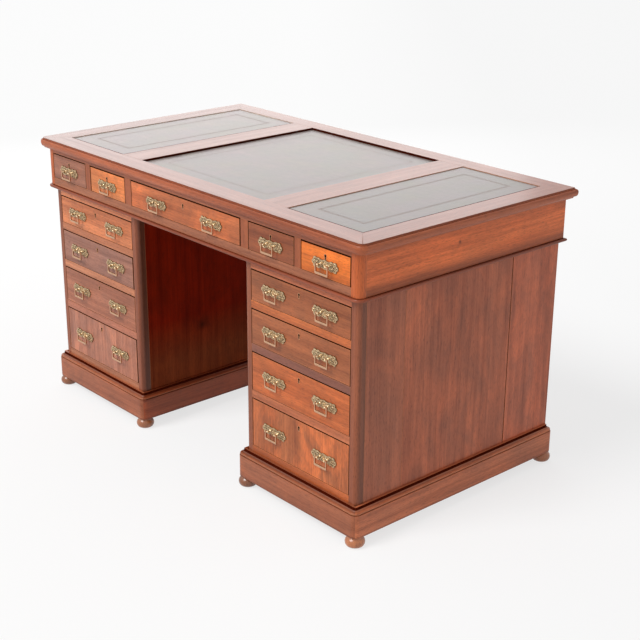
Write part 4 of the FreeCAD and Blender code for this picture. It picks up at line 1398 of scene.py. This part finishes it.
class DESK_OT_bails(bpy.types.Operator):
    """Forge the squared bails that swing on their pins"""

    bl_idname = "desk.bails"
    bl_label = "Bails"

    def execute(self, context):
        pattern = self.forge()
        for _, bail, place in handle_places():
            place_mesh(bail + "_bow", moved_copy(pattern, place), bail, "rubbed_brass", body=bail,
                       slot="brass")
        bpy.data.meshes.remove(pattern)
        return {"FINISHED"}

    @staticmethod
    def forge():
        """Mesh of one bail about the middle of its handle's plate."""
        bm = new_mesh()
        outline = ((-22.0, 2.3), (-22.3, -20.6), (-20.6, -22.4), (20.6, -22.4), (22.3, -20.6), (22.0, 2.3),
                   (18.9, 2.3), (18.9, -17.0), (-18.9, -17.0), (-18.9, 2.3))
        add_prism(bm, outline, -14.3, -9.7)
        bmesh.ops.recalc_face_normals(bm, faces=bm.faces)
        bmesh.ops.bevel(bm, geom=bm.edges[:], offset=0.0010, offset_type="OFFSET", affect="EDGES", segments=2,
                        profile=0.5, material=-1)
        for side in (-1, 1):
            rod(bm, 16, 0.0014, 0.008, "Y", (side * 0.0185, -bail_standoff / 1000, 0))
        bmesh.ops.recalc_face_normals(bm, faces=bm.faces)
        return ready_mesh("bail", bm)


class DESK_OT_stage(bpy.types.Operator):
    """Set the pale floor, the soft light and the camera"""

    bl_idname = "desk.stage"
    bl_label = "Studio"

    def execute(self, context):
        self.lay_floor()
        self.set_lights(context.scene)
        camera = bpy.data.cameras.new("camera")
        camera.lens = camera_lens
        camera.sensor_width = camera_sensor
        turn, tilt = math.radians(camera_turn), math.radians(camera_tilt)
        ahead = -Vector((math.sin(turn) * math.cos(tilt), -math.cos(turn) * math.cos(tilt), math.sin(tilt)))
        level = ahead.to_track_quat("-Z", "Y") @ Quaternion((0, 0, 1), math.radians(camera_roll))
        holder = link_object("camera", camera)
        holder.matrix_world = Matrix.Translation(camera_place) @ level.to_matrix().to_4x4()
        context.scene.camera = holder
        context.scene.view_settings.view_transform = "Standard"
        return {"FINISHED"}

    @staticmethod
    def lay_floor():
        """Wide floor of studio paper, which takes the desk's soft shadow."""
        bm = bmesh.new()
        bmesh.ops.create_grid(bm, x_segments=1, y_segments=1, size=40.0)
        mesh = ready_mesh("floor", bm)
        paper, nodes, shader = new_material("studio_paper")
        nodes.fill(shader, {"Base Color": (*colours().floor, 1), "Roughness": 0.9, "Specular IOR Level": 0.0})
        # The camera and the gloss see the paper nearly white, with the desk's shadow still on it
        share = nodes.math("MULTIPLY", nodes.shown(), 0.72)
        # Painted shade: the paper is a little greyer to the right of the desk
        right = nodes.vector("DOT_PRODUCT", nodes.place(), (0.666, 0.746, 0.0), out="Value")
        level = nodes.remap(right, 0.0, 1.2, 1.0, 0.94)
        white = nodes.add("Emission", {"Color": (1, 1, 1, 1), "Strength": level})
        mixed = nodes.add("MixShader", {0: share, 1: shader.outputs[0], 2: white})
        nodes.fill(nodes.tree.nodes["Material Output"], {"Surface": mixed})
        mesh.materials.append(paper)
        link_object("floor", mesh)

    @staticmethod
    def set_lights(scene):
        """White room that the camera and the gloss see as white, with a soft sun and a window."""
        world = bpy.data.worlds.new("studio")
        world.use_nodes = True
        nodes = Nodes(world.node_tree)
        level = nodes.remap(nodes.shown(), to_low=0.50, to_high=0.985)
        nodes.fill(world.node_tree.nodes["Background"], {"Color": (1, 1, 1, 1), "Strength": level})
        scene.world = world
        sun = bpy.data.lights.new("soft_key", "SUN")
        sun.energy = 2.0
        sun.angle = math.radians(25)
        key = link_object("soft_key", sun)
        key.rotation_euler = Vector((0.2, 0.8, -0.9)).to_track_quat("-Z", "Y").to_euler()
        # A window behind the desk, which the polish and the leathers mirror
        pane = bpy.data.lights.new("window", "AREA")
        pane.shape = "RECTANGLE"
        pane.size = 3.8
        pane.size_y = 1.8
        pane.energy = 22.0
        window = link_object("window", pane)
        place = Vector((-2.91, 1.75, 1.70))
        facing = (Vector((0, 0, 0.9)) - place).to_track_quat("-Z", "Y")
        window.matrix_world = Matrix.Translation(place) @ facing.to_matrix().to_4x4()
        window.visible_camera = False


class DESK_PT_panel(bpy.types.Panel):
    """Lists the desk's pieces, sizes and colours"""

    bl_idname = "DESK_PT_panel"
    bl_label = "Pedestal desk"
    bl_space_type = "VIEW_3D"
    bl_region_type = "UI"
    bl_category = "Desk"

    def draw(self, context):
        for group in (context.scene.desk_sizes, context.scene.desk_colours):
            for name in group.bl_rna.properties.keys():
                if name not in ("rna_type", "name"):
                    self.layout.prop(group, name)
        for piece in steps:
            self.layout.operator(piece.bl_idname)


steps = (DESK_OT_top, DESK_OT_leathers, DESK_OT_frieze, DESK_OT_bead, DESK_OT_pedestals, DESK_OT_plinths,
         DESK_OT_feet, DESK_OT_drawers, DESK_OT_locks, DESK_OT_handles, DESK_OT_bails, DESK_OT_stage)
classes = (DeskSizes, DeskColours) + steps + (DESK_PT_panel,)


def register():
    """Register the classes and the settings."""
    for kind in classes:
        bpy.utils.register_class(kind)
    bpy.types.Scene.desk_sizes = bpy.props.PointerProperty(type=DeskSizes)
    bpy.types.Scene.desk_colours = bpy.props.PointerProperty(type=DeskColours)


def unregister():
    """Take the classes and the settings away again."""
    del bpy.types.Scene.desk_colours
    del bpy.types.Scene.desk_sizes
    for kind in reversed(classes):
        bpy.utils.unregister_class(kind)


def main():
    """Build every piece in order."""
    register()
    for piece in steps:
        group, name = piece.bl_idname.split(".")
        getattr(getattr(bpy.ops, group), name)()


if __name__ == "__main__":
    main()
